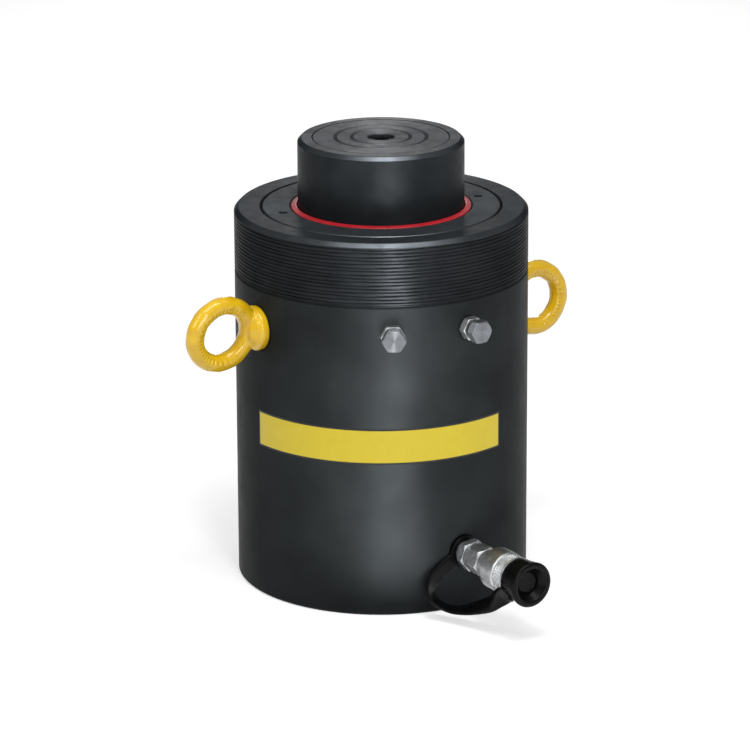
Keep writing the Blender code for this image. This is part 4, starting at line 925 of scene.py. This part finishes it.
# %% [markdown]
# ## The coupler
# The female half of a quick coupler stands on a short hexagon nipple. Its collar turns by hand on the body,
# so it has a knurled band for the fingers: two families of fine grooves, wound left and right, that leave
# small diamonds.

# %% Sizes of the nipple and the coupler
port = radial_place(0, PORT_HEIGHT)
HEX_TURN = math.radians(-20)
# Places are in mm from the casing's axis. A hexagon has its start and end, its width over the flats, and the
# radius and length of the long cone at its back.
NIPPLE = dict(start=145.83, end=156.03, flats=27.0, foot=12.0, rise=4.0)
NIPPLE_ENDS = (124.2, 168.3)
NIPPLE_SHOULDER = (11.0, 141.83)    # radius and start
COUPLER = dict(start=156.33, end=177.33, flats=26.0, foot=12.2, rise=7.0)
NECK_RADIUS = 12.5
NECK_CONE = 1.1                     # slope of the cone from the hexagon to the neck
RING_GROOVE = (183.2, 1.7, 11.8)    # start, width and radius of the groove for the snap ring
FLANGE = (195.03, 201.03, 14.7)     # start, end and radius of the flange that carries the collar
NOSE_END = 227.03
NOSE_RADIUS = 12.4
NOSE_CHAMFER = 1.0
PORT_THREAD = 8.55                  # radius of the thread at both ends of the nipple
THREAD_CHAMFER = 1.0
THREAD_HOLE = (169.3, 171.3)        # the coupler's threaded hole ends in a cone between these
OIL_BORE = 4.5
# radius and depth behind the nose: the mouth, the poppet's seat, the spring's room and the oil bore
COUPLER_BORE = [(9.6, 0), (9.6, 10), (6.3, 10), (6.3, 18), (8.8, 18), (8.8, 44), (OIL_BORE, 44)]


def cone_slope(flats, foot, length):
    """Rise for each mm outwards of a cone that reaches the corners of a hexagon over a length."""
    return length / (flats / math.sqrt(3) - foot)


# %% The nipple
nipple_start, nipple_end = NIPPLE_ENDS
shoulder, shoulder_start = NIPPLE_SHOULDER
nipple = fitting("port_hexagon_nipple", [
    steady_rows([(OIL_BORE, nipple_start), (PORT_THREAD - THREAD_CHAMFER, nipple_start),
                 (PORT_THREAD, nipple_start + THREAD_CHAMFER), (PORT_THREAD, shoulder_start),
                 (shoulder, shoulder_start), (shoulder, NIPPLE["start"])]),
    hexagon_rows(NIPPLE["flats"], NIPPLE["start"], NIPPLE["end"],
                 (NIPPLE["foot"], cone_slope(NIPPLE["flats"], NIPPLE["foot"], NIPPLE["rise"])),
                 (NIPPLE["flats"] / 2 - CONE_INSET, CORNER_CONE), HEX_TURN),
    steady_rows([(PORT_THREAD, NIPPLE["end"]), (PORT_THREAD, nipple_end - THREAD_CHAMFER),
                 (PORT_THREAD - THREAD_CHAMFER, nipple_end), (OIL_BORE, nipple_end),
                 (OIL_BORE, nipple_start)])], port)
give(nipple, zinc_plate("zinc_plate_nipple", port, rough=0.42, dark="#a3a6a8"))

# %% The coupler's body
groove_start, groove_width, groove_radius = RING_GROOVE
flange_start, flange_end, flange_radius = FLANGE
thread_hole = PORT_THREAD + SEAT_GAP
coupler = fitting("coupler_half", [
    steady_rows([(thread_hole, COUPLER["start"])]),
    hexagon_rows(COUPLER["flats"], COUPLER["start"], COUPLER["end"],
                 (COUPLER["foot"], cone_slope(COUPLER["flats"], COUPLER["foot"], COUPLER["rise"])),
                 (NECK_RADIUS + CONE_INSET, NECK_CONE), HEX_TURN),
    steady_rows([(NECK_RADIUS, COUPLER["end"]), (NECK_RADIUS, groove_start), (groove_radius, groove_start),
                 (groove_radius, groove_start + groove_width), (NECK_RADIUS, groove_start + groove_width),
                 (NECK_RADIUS, flange_start), (flange_radius, flange_start), (flange_radius, flange_end),
                 (NOSE_RADIUS, flange_end), (NOSE_RADIUS, NOSE_END - NOSE_CHAMFER),
                 (NOSE_RADIUS - NOSE_CHAMFER, NOSE_END),
                 *[(radius, NOSE_END - depth) for radius, depth in COUPLER_BORE],
                 (OIL_BORE, THREAD_HOLE[1]), (thread_hole, THREAD_HOLE[0]),
                 (thread_hole, COUPLER["start"])])], port)
give(coupler, zinc_plate("zinc_plate_coupler", port, 1.1, rough=0.42, dark="#a3a6a8"))
for piece, node in ((nipple, "port_nipple"), (coupler, "coupler_body")):
    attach(piece, "casing")
    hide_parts(node)
    print(piece.name, len(piece.data.polygons), "faces")

# %% Sizes of the collar
COLLAR_BACK = 185.23
COLLAR_BAND = 192.03
COLLAR_GRIP = 211.03
COLLAR_SLEEVE = 225.53
COLLAR_END = 235.33
BAND_RADIUS = 19.7
GRIP_RADIUS = 18.8
RIM_RADIUS = 19.4
RIM_WIDTH = 2.0
COLLAR_HEEL = (12.8, 14.6)          # inner and outer radius of the collar's back end
HEEL_SPLIT = 3.0                    # the grid starts and ends in the bore, this far from the back
SLEEVE = (15.2, 16.5)               # inner and outer radius of the sleeve that the dust cap covers
# radius and place of the bore's steps: from the sleeve, past the flange, to the neck
COLLAR_BORE = [(15.2, 202.3), (15.0, 201.3), (15.0, 194.7), (12.8, 194.7)]
GRIP_STEP = 0.4                     # the plain ends of the grip lie this far below the diamonds' tips
GRIP_PLAIN = 0.6                    # length of those ends
BAND_CHAMFER = 1.0
KNURL_COUNT = 44
KNURL_DEPTH = 0.8
KNURL_SLOPE = 1.5                   # how steeply a groove falls between its flat-topped diamonds
KNURL_ROW = 0.3                     # length of one row of the grid
COLLAR_COLUMNS = 448


# %% The knurled collar
def knurl(turn, height):
    """Depth of a diamond knurl: the deeper of two families of V grooves.

    They lie where count * turn / 2 pi, plus or minus height / pitch, is a whole number.
    """
    pitch = 2 * np.pi * GRIP_RADIUS / KNURL_COUNT
    around = KNURL_COUNT * turn / (2 * np.pi)
    along = height / pitch
    first = np.abs(2 * ((around + along) % 1.0) - 1)
    second = np.abs(2 * ((around - along) % 1.0) - 1)
    return KNURL_DEPTH * np.clip(KNURL_SLOPE * (np.maximum(first, second) - 1) + 1, 0, 1)


def build_collar():
    """The collar from its back wall round its outside to its sleeve and back through its bore."""
    rim_start = COLLAR_SLEEVE - RIM_WIDTH
    bore, heel = COLLAR_HEEL
    inner, outer = SLEEVE
    plain = GRIP_RADIUS - GRIP_STEP
    split = (bore, COLLAR_BACK + HEEL_SPLIT)
    before = rounded([split, (bore, COLLAR_BACK), (heel, COLLAR_BACK), (BAND_RADIUS, COLLAR_BAND),
                      (BAND_RADIUS, COLLAR_GRIP - BAND_CHAMFER), (plain, COLLAR_GRIP),
                      (plain, COLLAR_GRIP + GRIP_PLAIN)], 0.5)
    after = rounded([(plain, rim_start - GRIP_PLAIN), (plain, rim_start), (RIM_RADIUS, rim_start),
                     (RIM_RADIUS, COLLAR_SLEEVE), (outer, COLLAR_SLEEVE), (outer, COLLAR_END),
                     (inner, COLLAR_END), *COLLAR_BORE, split], 0.35)
    turn = 2 * np.pi * np.arange(COLLAR_COLUMNS) / COLLAR_COLUMNS
    heights = np.arange(COLLAR_GRIP + GRIP_PLAIN + KNURL_ROW, rim_start - GRIP_PLAIN, KNURL_ROW)[:, None]
    grip = GRIP_RADIUS - knurl(turn[None, :], heights)
    grip = np.stack([grip, np.broadcast_to(heights, grip.shape)], axis=-1)
    wide = [np.repeat(rows[:, None], COLLAR_COLUMNS, axis=1) for rows in (before, after)]
    return skin("union_collar", put(spin(np.concatenate([wide[0], grip, wide[1]])), port))


collar = give(build_collar(), zinc_plate("zinc_plate_collar", port, 0.9, rough=0.35, dark="#a9acae"))
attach(collar, "collar")
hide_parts("coupler_collar")
print("collar:", len(collar.data.polygons), "faces")

# %% [markdown]
# ## The dust cap and its strap
# The cap is moulded rubber, soft at every edge, with a funnel in its end and a bead round its lip. Its strap
# leaves a ring under the nipple, lies on the wall, bends round and grows into the cap. It is a flat section
# carried along a smooth route, and the way its face looks is given at each point of the route.

# %% The cap
CAP_START = 225.83
CAP_END = 249.33
CAP_WEB = 235.63
# radius and distance from the casing's axis: the boss in the coupler's mouth, the skirt over the collar's
# sleeve, the flare to the lip, and the funnel in the end
CAP_BOSS = [(0, 223.13), (8.2, 223.13), (9.2, 224.13), (9.2, CAP_WEB)]
CAP_SKIRT = [(16.8, CAP_WEB), (16.8, CAP_START), (17.8, CAP_START), (18.8, CAP_START + 1)]
CAP_FLARE = [(19.3, CAP_START + 4), (21.0, CAP_END - 4.6), (21.6, CAP_END - 2), (19.6, CAP_END)]
CAP_FUNNEL = [(16.5, CAP_END), (10.5, CAP_END - 7), (9.5, CAP_WEB + 4), (0, CAP_WEB + 4)]
cap = turned("rubber_dust_cap", [*CAP_BOSS, *CAP_SKIRT, *CAP_FLARE, *CAP_FUNNEL], 1.2, 160, port)
give(cap, rubber)
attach(cap, "cap")
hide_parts("dust_cap")
print("cap:", len(cap.data.polygons), "faces")

# %% The strap's route and sizes
# The route is in mm to the right of the port, away from the wall and above the port. A face is the way that
# the strap's flat side looks at the same point.
STRAP_ROUTE = np.array([
    (-12.0, 2.8, -7.0), (-20.5, 2.8, -11.5), (-28.5, 3.2, -17.0), (-35.6, 3.8, -23.5),
    (-40.0, 5.8, -31.0), (-39.5, 10.5, -37.6), (-34.8, 18.5, -42.4), (-28.6, 30.0, -43.4),
    (-23.6, 45.0, -38.8), (-20.6, 60.0, -32.4), (-18.8, 74.0, -25.4), (-17.6, 84.0, -17.6),
    (-16.5, 93.0, -12.8), (-16.6, 102.0, -12.4)])
STRAP_FACES = np.array([
    (0.0, 1.0, 0.0), (0.0, 1.0, 0.0), (0.05, 1.0, 0.0), (0.25, 0.95, 0.0), (0.5, 0.8, 0.1), (0.45, 0.55, 0.6),
    (0.2, 0.2, 0.95), (-0.15, 0.0, 1.0), (-0.5, 0.0, 0.87), (-0.72, 0.0, 0.68), (-0.87, 0.0, 0.42),
    (-0.95, 0.0, -0.05), (-0.83, 0.0, -0.55), (-0.8, 0.0, -0.6)])
STRAP_WIDTH = 15.0
STRAP_THICKNESS = 3.0
STRAP_STEPS = 8                     # points on each span of the route
STRAP_COLUMNS = 32
OBLONG = 0.5                        # 2 over the power of the section's oblong, |x/w|^4 + |y/t|^4 = 1
ROOT_START = 0.48                   # share of the route after which the strap widens into its root on the cap
ROOT_WIDTH = 18.5
ROOT_TIP = 0.07                     # share of the route over which its end is rounded off
ROOT_TIP_LEAST = 0.05               # the tip keeps this share of that, so that it is never a point
ROOT_CURL = 22.0                    # radius to which the root is curled round the cap
STRAP_RING = (8.85, 15.5, 136.53, 141.53)   # inner and outer radius, start and end of the ring on the nipple


# %% Building the strap
def smooth_route(points, steps):
    """Points of a Catmull-Rom curve through the given points, all spans at once."""
    padded = np.concatenate([2 * points[:1] - points[1:2], points, 2 * points[-1:] - points[-2:-1]])
    a, b, c, d = (padded[i:len(padded) - 3 + i, None] for i in range(4))
    t = (np.arange(steps) / steps)[None, :, None]
    curve = 0.5 * (2 * b + (c - a) * t + (2 * a - 5 * b + 4 * c - d) * t ** 2
                   + (3 * b - 3 * c + d - a) * t ** 3)
    return np.concatenate([curve.reshape(-1, points.shape[1]), points[-1:]])


def build_strap():
    """A rounded oblong carried along the strap's route, with its face turned as chosen.

    Towards the cap it widens into a root, which is curled round the cap, and its tip is rounded off. There
    its width is multiplied by sqrt(1 - (1 - u)^2), where u is the distance from the end over the tip's
    length.
    """
    route = smooth_route(STRAP_ROUTE, STRAP_STEPS)
    faces = smooth_route(STRAP_FACES, STRAP_STEPS)
    along = np.gradient(route, axis=0)
    along /= np.linalg.norm(along, axis=1, keepdims=True)
    face = faces - along * np.sum(faces * along, axis=1, keepdims=True)
    face /= np.linalg.norm(face, axis=1, keepdims=True)
    side = np.cross(along, face)
    turn = 2 * np.pi * np.arange(STRAP_COLUMNS) / STRAP_COLUMNS
    share = np.linspace(0, 1, len(route))[:, None]
    root = np.clip((share - ROOT_START) / (1 - ROOT_START), 0, 1)
    tip = np.clip((1 - share) / ROOT_TIP, ROOT_TIP_LEAST, 1)
    width = (STRAP_WIDTH + (ROOT_WIDTH - STRAP_WIDTH) * root) * np.sqrt(1 - (1 - tip) ** 2)
    flat = (np.sign(np.cos(turn)) * np.abs(np.cos(turn)) ** OBLONG)[None, :] * width / 2
    thick = (np.sign(np.sin(turn)) * np.abs(np.sin(turn)) ** OBLONG)[None, :] * STRAP_THICKNESS / 2
    thick = thick - root * flat ** 2 / (2 * ROOT_CURL)
    grid = route[:, None] + side[:, None] * flat[..., None] + face[:, None] * thick[..., None]
    ends = [np.repeat(grid[i].mean(axis=0)[None, None], STRAP_COLUMNS, axis=1) for i in (0, -1)]
    grid = np.concatenate([ends[0], grid, ends[1]])
    world = np.stack([grid[..., 0], -PORT_SEAT - grid[..., 1], PORT_HEIGHT + grid[..., 2]], axis=-1)
    return skin("cap_strap_band", world)


strap = build_strap()
ring_inner, ring_outer, ring_start, ring_end = STRAP_RING
strap_ring = turned("strap_ring", [(ring_inner, ring_start), (ring_outer, ring_start), (ring_outer, ring_end),
                                   (ring_inner, ring_end)], 1.0, 96, port, ring=True)
tidy(combine(strap, strap_ring, "UNION"))
give(strap, rubber)
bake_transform(strap)
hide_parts("dust_cap_strap")
print("strap:", len(strap.data.polygons), "faces")

# %% [markdown]
# ## The label
# The casing carries a long yellow label across its front: a plain yellow field inside a thin black border.
# Each is a thin printed sheet bent round the wall.

# %% The label's two layers
LABEL_MIDDLE = math.radians(-35)
LABEL_HALF = math.radians(54)
LABEL_LOW = 148.0
LABEL_HIGH = 182.0
LABEL_BORDER = 1.6
BORDER_SHEET = (0.05, 0.12)         # distance from the wall, and thickness
FIELD_SHEET = (0.19, 0.06)
FILM_GRAIN = (0.6, 0.004)           # size and depth of the film's grain, coarser than the real one


def bent_sheet(name, inset, proud, thick, columns=160):
    """A sheet bent round the wall, with square corners and a closed back."""
    half = LABEL_HALF - inset / BODY_RADIUS
    turn = np.linspace(LABEL_MIDDLE - half, LABEL_MIDDLE + half, columns)
    low, high = LABEL_LOW + inset, LABEL_HIGH - inset
    inner, outer = BODY_RADIUS + proud, BODY_RADIUS + proud + thick
    rim = np.array([(inner, low), (outer, low), (outer, high), (inner, high), (inner, low)])
    radius = np.repeat(rim[:, :1], columns, axis=1)
    height = np.repeat(rim[:, 1:], columns, axis=1)
    grid = np.stack([radius * np.sin(turn), -radius * np.cos(turn), height], axis=-1)
    sheet = skin(name, grid, wrap=False)
    bm = bmesh.new()
    bm.from_mesh(sheet.data)
    bmesh.ops.holes_fill(bm, edges=[edge for edge in bm.edges if edge.is_boundary])
    bm.to_mesh(sheet.data)
    bm.free()
    return tidy(sheet)


# Printed polyester film: flat, even ink with the low sheen of its clear cover.
black_film = moulded("printed_black_film", "#141415", "#191919", 0.4, *FILM_GRAIN)
yellow_film = moulded("printed_yellow_film", "#e6cd30", "#e9d135", 0.38, *FILM_GRAIN)
label_edge = give(bent_sheet("label_border", 0, *BORDER_SHEET), black_film)
label_field = give(bent_sheet("label_field", LABEL_BORDER, *FIELD_SHEET), yellow_film)
for sheet in (label_edge, label_field):
    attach(sheet, "casing")
print("label: %.0f mm long" % (2 * LABEL_HALF * BODY_RADIUS))

# %% [markdown]
# ## The pieces that keep their solids
# Inside the casing and the coupler nothing is seen from outside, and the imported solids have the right
# shape. They get a real finish all the same: bronze bearings, bright turned steel, polyurethane and acetal
# seals, rubber rings.

# %% Finishes on the inner solids
bronze = machined("turned_bearing_bronze", "#8f6a3e", "#a67c49", 0.34, 0.8)
bright = machined("bright_turned_steel", "#85888b", "#9da0a3", 0.28, 0.9)
small_bright = machined("bright_turned_poppet", "#85888b", "#a5a8ab", 0.26, 0.6, port)
spring = machined("drawn_spring_steel", "#6d7073", "#8b8e91", 0.3, 0.5, port)
inner_finish = {
    "piston": bright, "piston_nut": bright, "coupler_poppet": small_bright,
    "collar_snap_ring": spring, "rod_bearing": bronze, "piston_guide_ring_lower": bronze,
    "piston_guide_ring_upper": bronze,
    "piston_seal": moulded("moulded_blue_polyurethane", "#1f4a86", "#295a9c", 0.4),
    "piston_backup_ring": moulded("turned_white_acetal", "#dcdad2", "#e8e6de", 0.36),
    "stop_ring_o_ring": rubber, "piston_o_ring": rubber, "coupler_o_ring": rubber,
}
for node, mat in inner_finish.items():
    give(frame["nodes"][node], mat)
print(len(inner_finish), "solids keep their shape")

# %% [markdown]
# ## The poppet's spring
# Inside the coupler a small spring pushes the check poppet shut. It is a round wire on a helix with its end
# coils closed.

# %% The spring
SPRING_WIRE = 1.6                   # the wire's diameter, and the coil's at the wire's middle
SPRING_COIL = 11.0
SPRING_TURNS = 5
SPRING_CLOSED = 0.15                # share of the wire that lies closed at each end
SPRING_STEPS = 48                   # points on each turn
WIRE_COLUMNS = 16
SPRING_ENDS = (184.15, 202.43)      # middles of the end coils, from the casing's axis


def build_spring():
    """A round wire along t from 0 to 1.

    Its angle is 2 pi * turns * t, and its height is low + wire * closed(t) + (high - low - 2 wire) * rise(t).
    """
    low, high = SPRING_ENDS
    share = np.linspace(0, 1, SPRING_TURNS * SPRING_STEPS + 1)
    closed = (np.minimum(share, SPRING_CLOSED) + np.maximum(share - 1 + SPRING_CLOSED, 0)) / SPRING_CLOSED
    rise = np.clip((share - SPRING_CLOSED) / (1 - 2 * SPRING_CLOSED), 0, 1)
    height = low + SPRING_WIRE * closed + (high - low - 2 * SPRING_WIRE) * rise
    turn = 2 * np.pi * SPRING_TURNS * share
    upwards = np.array([0.0, 0.0, 1.0])
    outwards = np.stack([np.cos(turn), np.sin(turn), np.zeros_like(turn)], axis=-1)
    middle = (outwards * SPRING_COIL / 2 + height[:, None] * upwards)[:, None]
    around = (2 * np.pi * np.arange(WIRE_COLUMNS) / WIRE_COLUMNS)[None, :, None]
    wire = middle + SPRING_WIRE / 2 * (np.cos(around) * outwards[:, None] + np.sin(around) * upwards)
    ends = [np.repeat(middle[i:i + 1], WIRE_COLUMNS, axis=1) for i in (0, len(middle) - 1)]
    return skin("check_spring", put(np.concatenate([ends[0], wire, ends[1]]), port))


coil = give(build_spring(), spring)
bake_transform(coil)
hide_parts("poppet_spring")
print("spring:", len(coil.data.polygons), "faces")

# %% [markdown]
# ## Floor, world and lamps
# The floor is white to the camera and to reflections, and still takes the cylinder's shadow. The dark wall
# mirrors the floor in front of it, so strip lamps that lie face up on the floor draw its long highlight,
# and they light the dark pieces only. A tall lamp beside the camera adds a softer one. Lamps overhead light
# the end faces and catch their broken edges, a lamp on the left lights the fittings and eyes, and a dim
# world fills the rest.

# %% The floor
FLOOR_SIZE = 60.0                   # in metres
FLOOR_GLOW = 0.55
FLOOR_GREY = (0.72, 0.72, 0.72, 1)
WHITE = (1, 1, 1, 1)
floor_mesh = bpy.data.meshes.new("floor")
half = FLOOR_SIZE / 2
corners = [(-half, -half, 0), (half, -half, 0), (half, half, 0), (-half, half, 0)]
floor_mesh.from_pydata(corners, [], [(0, 1, 2, 3)])
floor = bpy.data.objects.new("floor", floor_mesh)
bpy.context.scene.collection.objects.link(floor)
floor_mat = bpy.data.materials.new("matt_white_floor")
floor_mat.use_nodes = True
tree = floor_mat.node_tree
tree.nodes.remove(tree.nodes["Principled BSDF"])
matt = add_node(tree, "ShaderNodeBsdfDiffuse", {"Color": FLOOR_GREY})
glow = add_node(tree, "ShaderNodeEmission", {"Color": WHITE, "Strength": FLOOR_GLOW})
lit = add_node(tree, "ShaderNodeAddShader", {0: matt.outputs[0], 1: glow.outputs[0]})
path = add_node(tree, "ShaderNodeLightPath")
seen = add_node(tree, "ShaderNodeMath", {0: path.outputs["Is Camera Ray"], 1: path.outputs["Is Glossy Ray"]},
                operation="MAXIMUM")
seen = add_node(tree, "ShaderNodeMath", {0: seen.outputs[0], 1: path.outputs["Is Transmission Ray"]},
                operation="MAXIMUM")
both = add_node(tree, "ShaderNodeMixShader", {0: seen.outputs[0], 1: matt.outputs[0], 2: lit.outputs[0]})
tree.links.new(both.outputs[0], tree.nodes["Material Output"].inputs["Surface"])
floor_mesh.materials.append(floor_mat)
print("floor:", FLOOR_SIZE, "m across")

# %% The world
WORLD_LEVEL = 0.34
world = bpy.data.worlds.new("studio_world")
world.use_nodes = True
world.node_tree.nodes["Background"].inputs["Color"].default_value = WHITE
world.node_tree.nodes["Background"].inputs["Strength"].default_value = WORLD_LEVEL
bpy.context.scene.world = world
print("world:", WORLD_LEVEL)

# %% Kinds of lamp
AIM_HEIGHT = 0.2                    # metres above the floor, where the lamps point
STRIP_HEIGHT = 0.01


def soft_lamp(name, turn, height, away, size, power):
    """An area lamp that the camera doesn't see, turned round from it by degrees, aimed at the middle."""
    data = bpy.data.lights.new(name, "AREA")
    data.shape = "RECTANGLE"
    data.size, data.size_y = size
    data.energy = power
    lamp = bpy.data.objects.new(name, data)
    bpy.context.scene.collection.objects.link(lamp)
    angle = VIEW_TURN + math.radians(turn)
    place = Vector((away * math.sin(angle), -away * math.cos(angle), height))
    facing = (Vector((0, 0, AIM_HEIGHT)) - place).to_track_quat("-Z", "Y")
    lamp.matrix_world = Matrix.Translation(place) @ facing.to_matrix().to_4x4()
    lamp.visible_camera = False
    return lamp


def floor_strip(name, turn, near, far, width, power):
    """A strip lamp laid face up on the floor, pointing at the cylinder from near to far, in metres."""
    lamp = soft_lamp(name, turn, STRIP_HEIGHT, (near + far) / 2, (width, far - near), power)
    place = lamp.matrix_world.translation.copy()
    lamp.matrix_world = (Matrix.Translation(place) @ Matrix.Rotation(VIEW_TURN + math.radians(turn), 4, "Z")
                         @ Matrix.Rotation(math.pi, 4, "X"))
    return lamp


def group_of(name, pieces):
    """A collection that holds the given pieces, for a lamp to refer to."""
    group = bpy.data.collections.new(name)
    for piece in pieces:
        group.objects.link(piece)
    return group


def shine_on(lamp, pieces):
    """Keep a lamp's light to some pieces, as a black card keeps it off the others in a studio."""
    lamp.light_linking.receiver_collection = group_of(lamp.name + "_reach", pieces)


# %% The lamps
# turn from the camera in degrees, height and distance in metres, the two sides in metres, power in watts
LAMPS = {
    "tall_lamp": (12, 0.9, 2.6, (0.6, 1.6), 19),
    "top_lamp": (8, 2.5, 0.85, (2.3, 0.9), 25),
    "streak_lamp": (10, 2.45, 0.85, (0.22, 0.9), 9),
    "edge_lamp": (10, 2.45, 0.85, (0.2, 0.9), 15),
    "left_lamp": (-58, 1.5, 2.0, (0.9, 0.9), 11),
    "back_lamp": (181, 0.95, 2.6, (0.5, 0.7), 5),
}
# turn from the camera in degrees, near end, far end and width in metres, and brightness
STRIPS = [
    (9.5, 0.2, 0.6, 0.13, 13.0),
    (9.5, 0.6, 0.85, 0.24, 20.0),
    (9.5, 0.85, 1.17, 0.34, 47.0),
    (9.5, 1.17, 2.0, 0.36, 16.0),
    (-19, 0.25, 2.0, 0.35, 1.8),
]
BRIGHT_NAMES = ("vent_", "port_hexagon", "coupler_half", "union_collar", "lifting_eye")
bright_pieces = [piece for piece in bpy.data.objects if piece.name.startswith(BRIGHT_NAMES)]
dark_pieces = [casing, stop_ring, plunger, saddle]
strip_shade = group_of("strip_shade", [*dark_pieces, nipple, coupler, collar, cap, strap])

lamps = {name: soft_lamp(name, *numbers) for name, numbers in LAMPS.items()}
shine_on(lamps["edge_lamp"], [stop_ring, plunger, saddle])
shine_on(lamps["left_lamp"], bright_pieces)
for number, (turn, near, far, width, brightness) in enumerate(STRIPS):
    power = brightness * math.pi * width * (far - near)     # a flat lamp's power is pi * brightness * area
    strip = floor_strip("floor_strip_%d" % number, turn, near, far, width, power)
    shine_on(strip, dark_pieces)
    strip.light_linking.blocker_collection = strip_shade
print(len(lamps), "lamps and", len(STRIPS), "strips")
bpy.context.scene.view_settings.view_transform = "Standard"
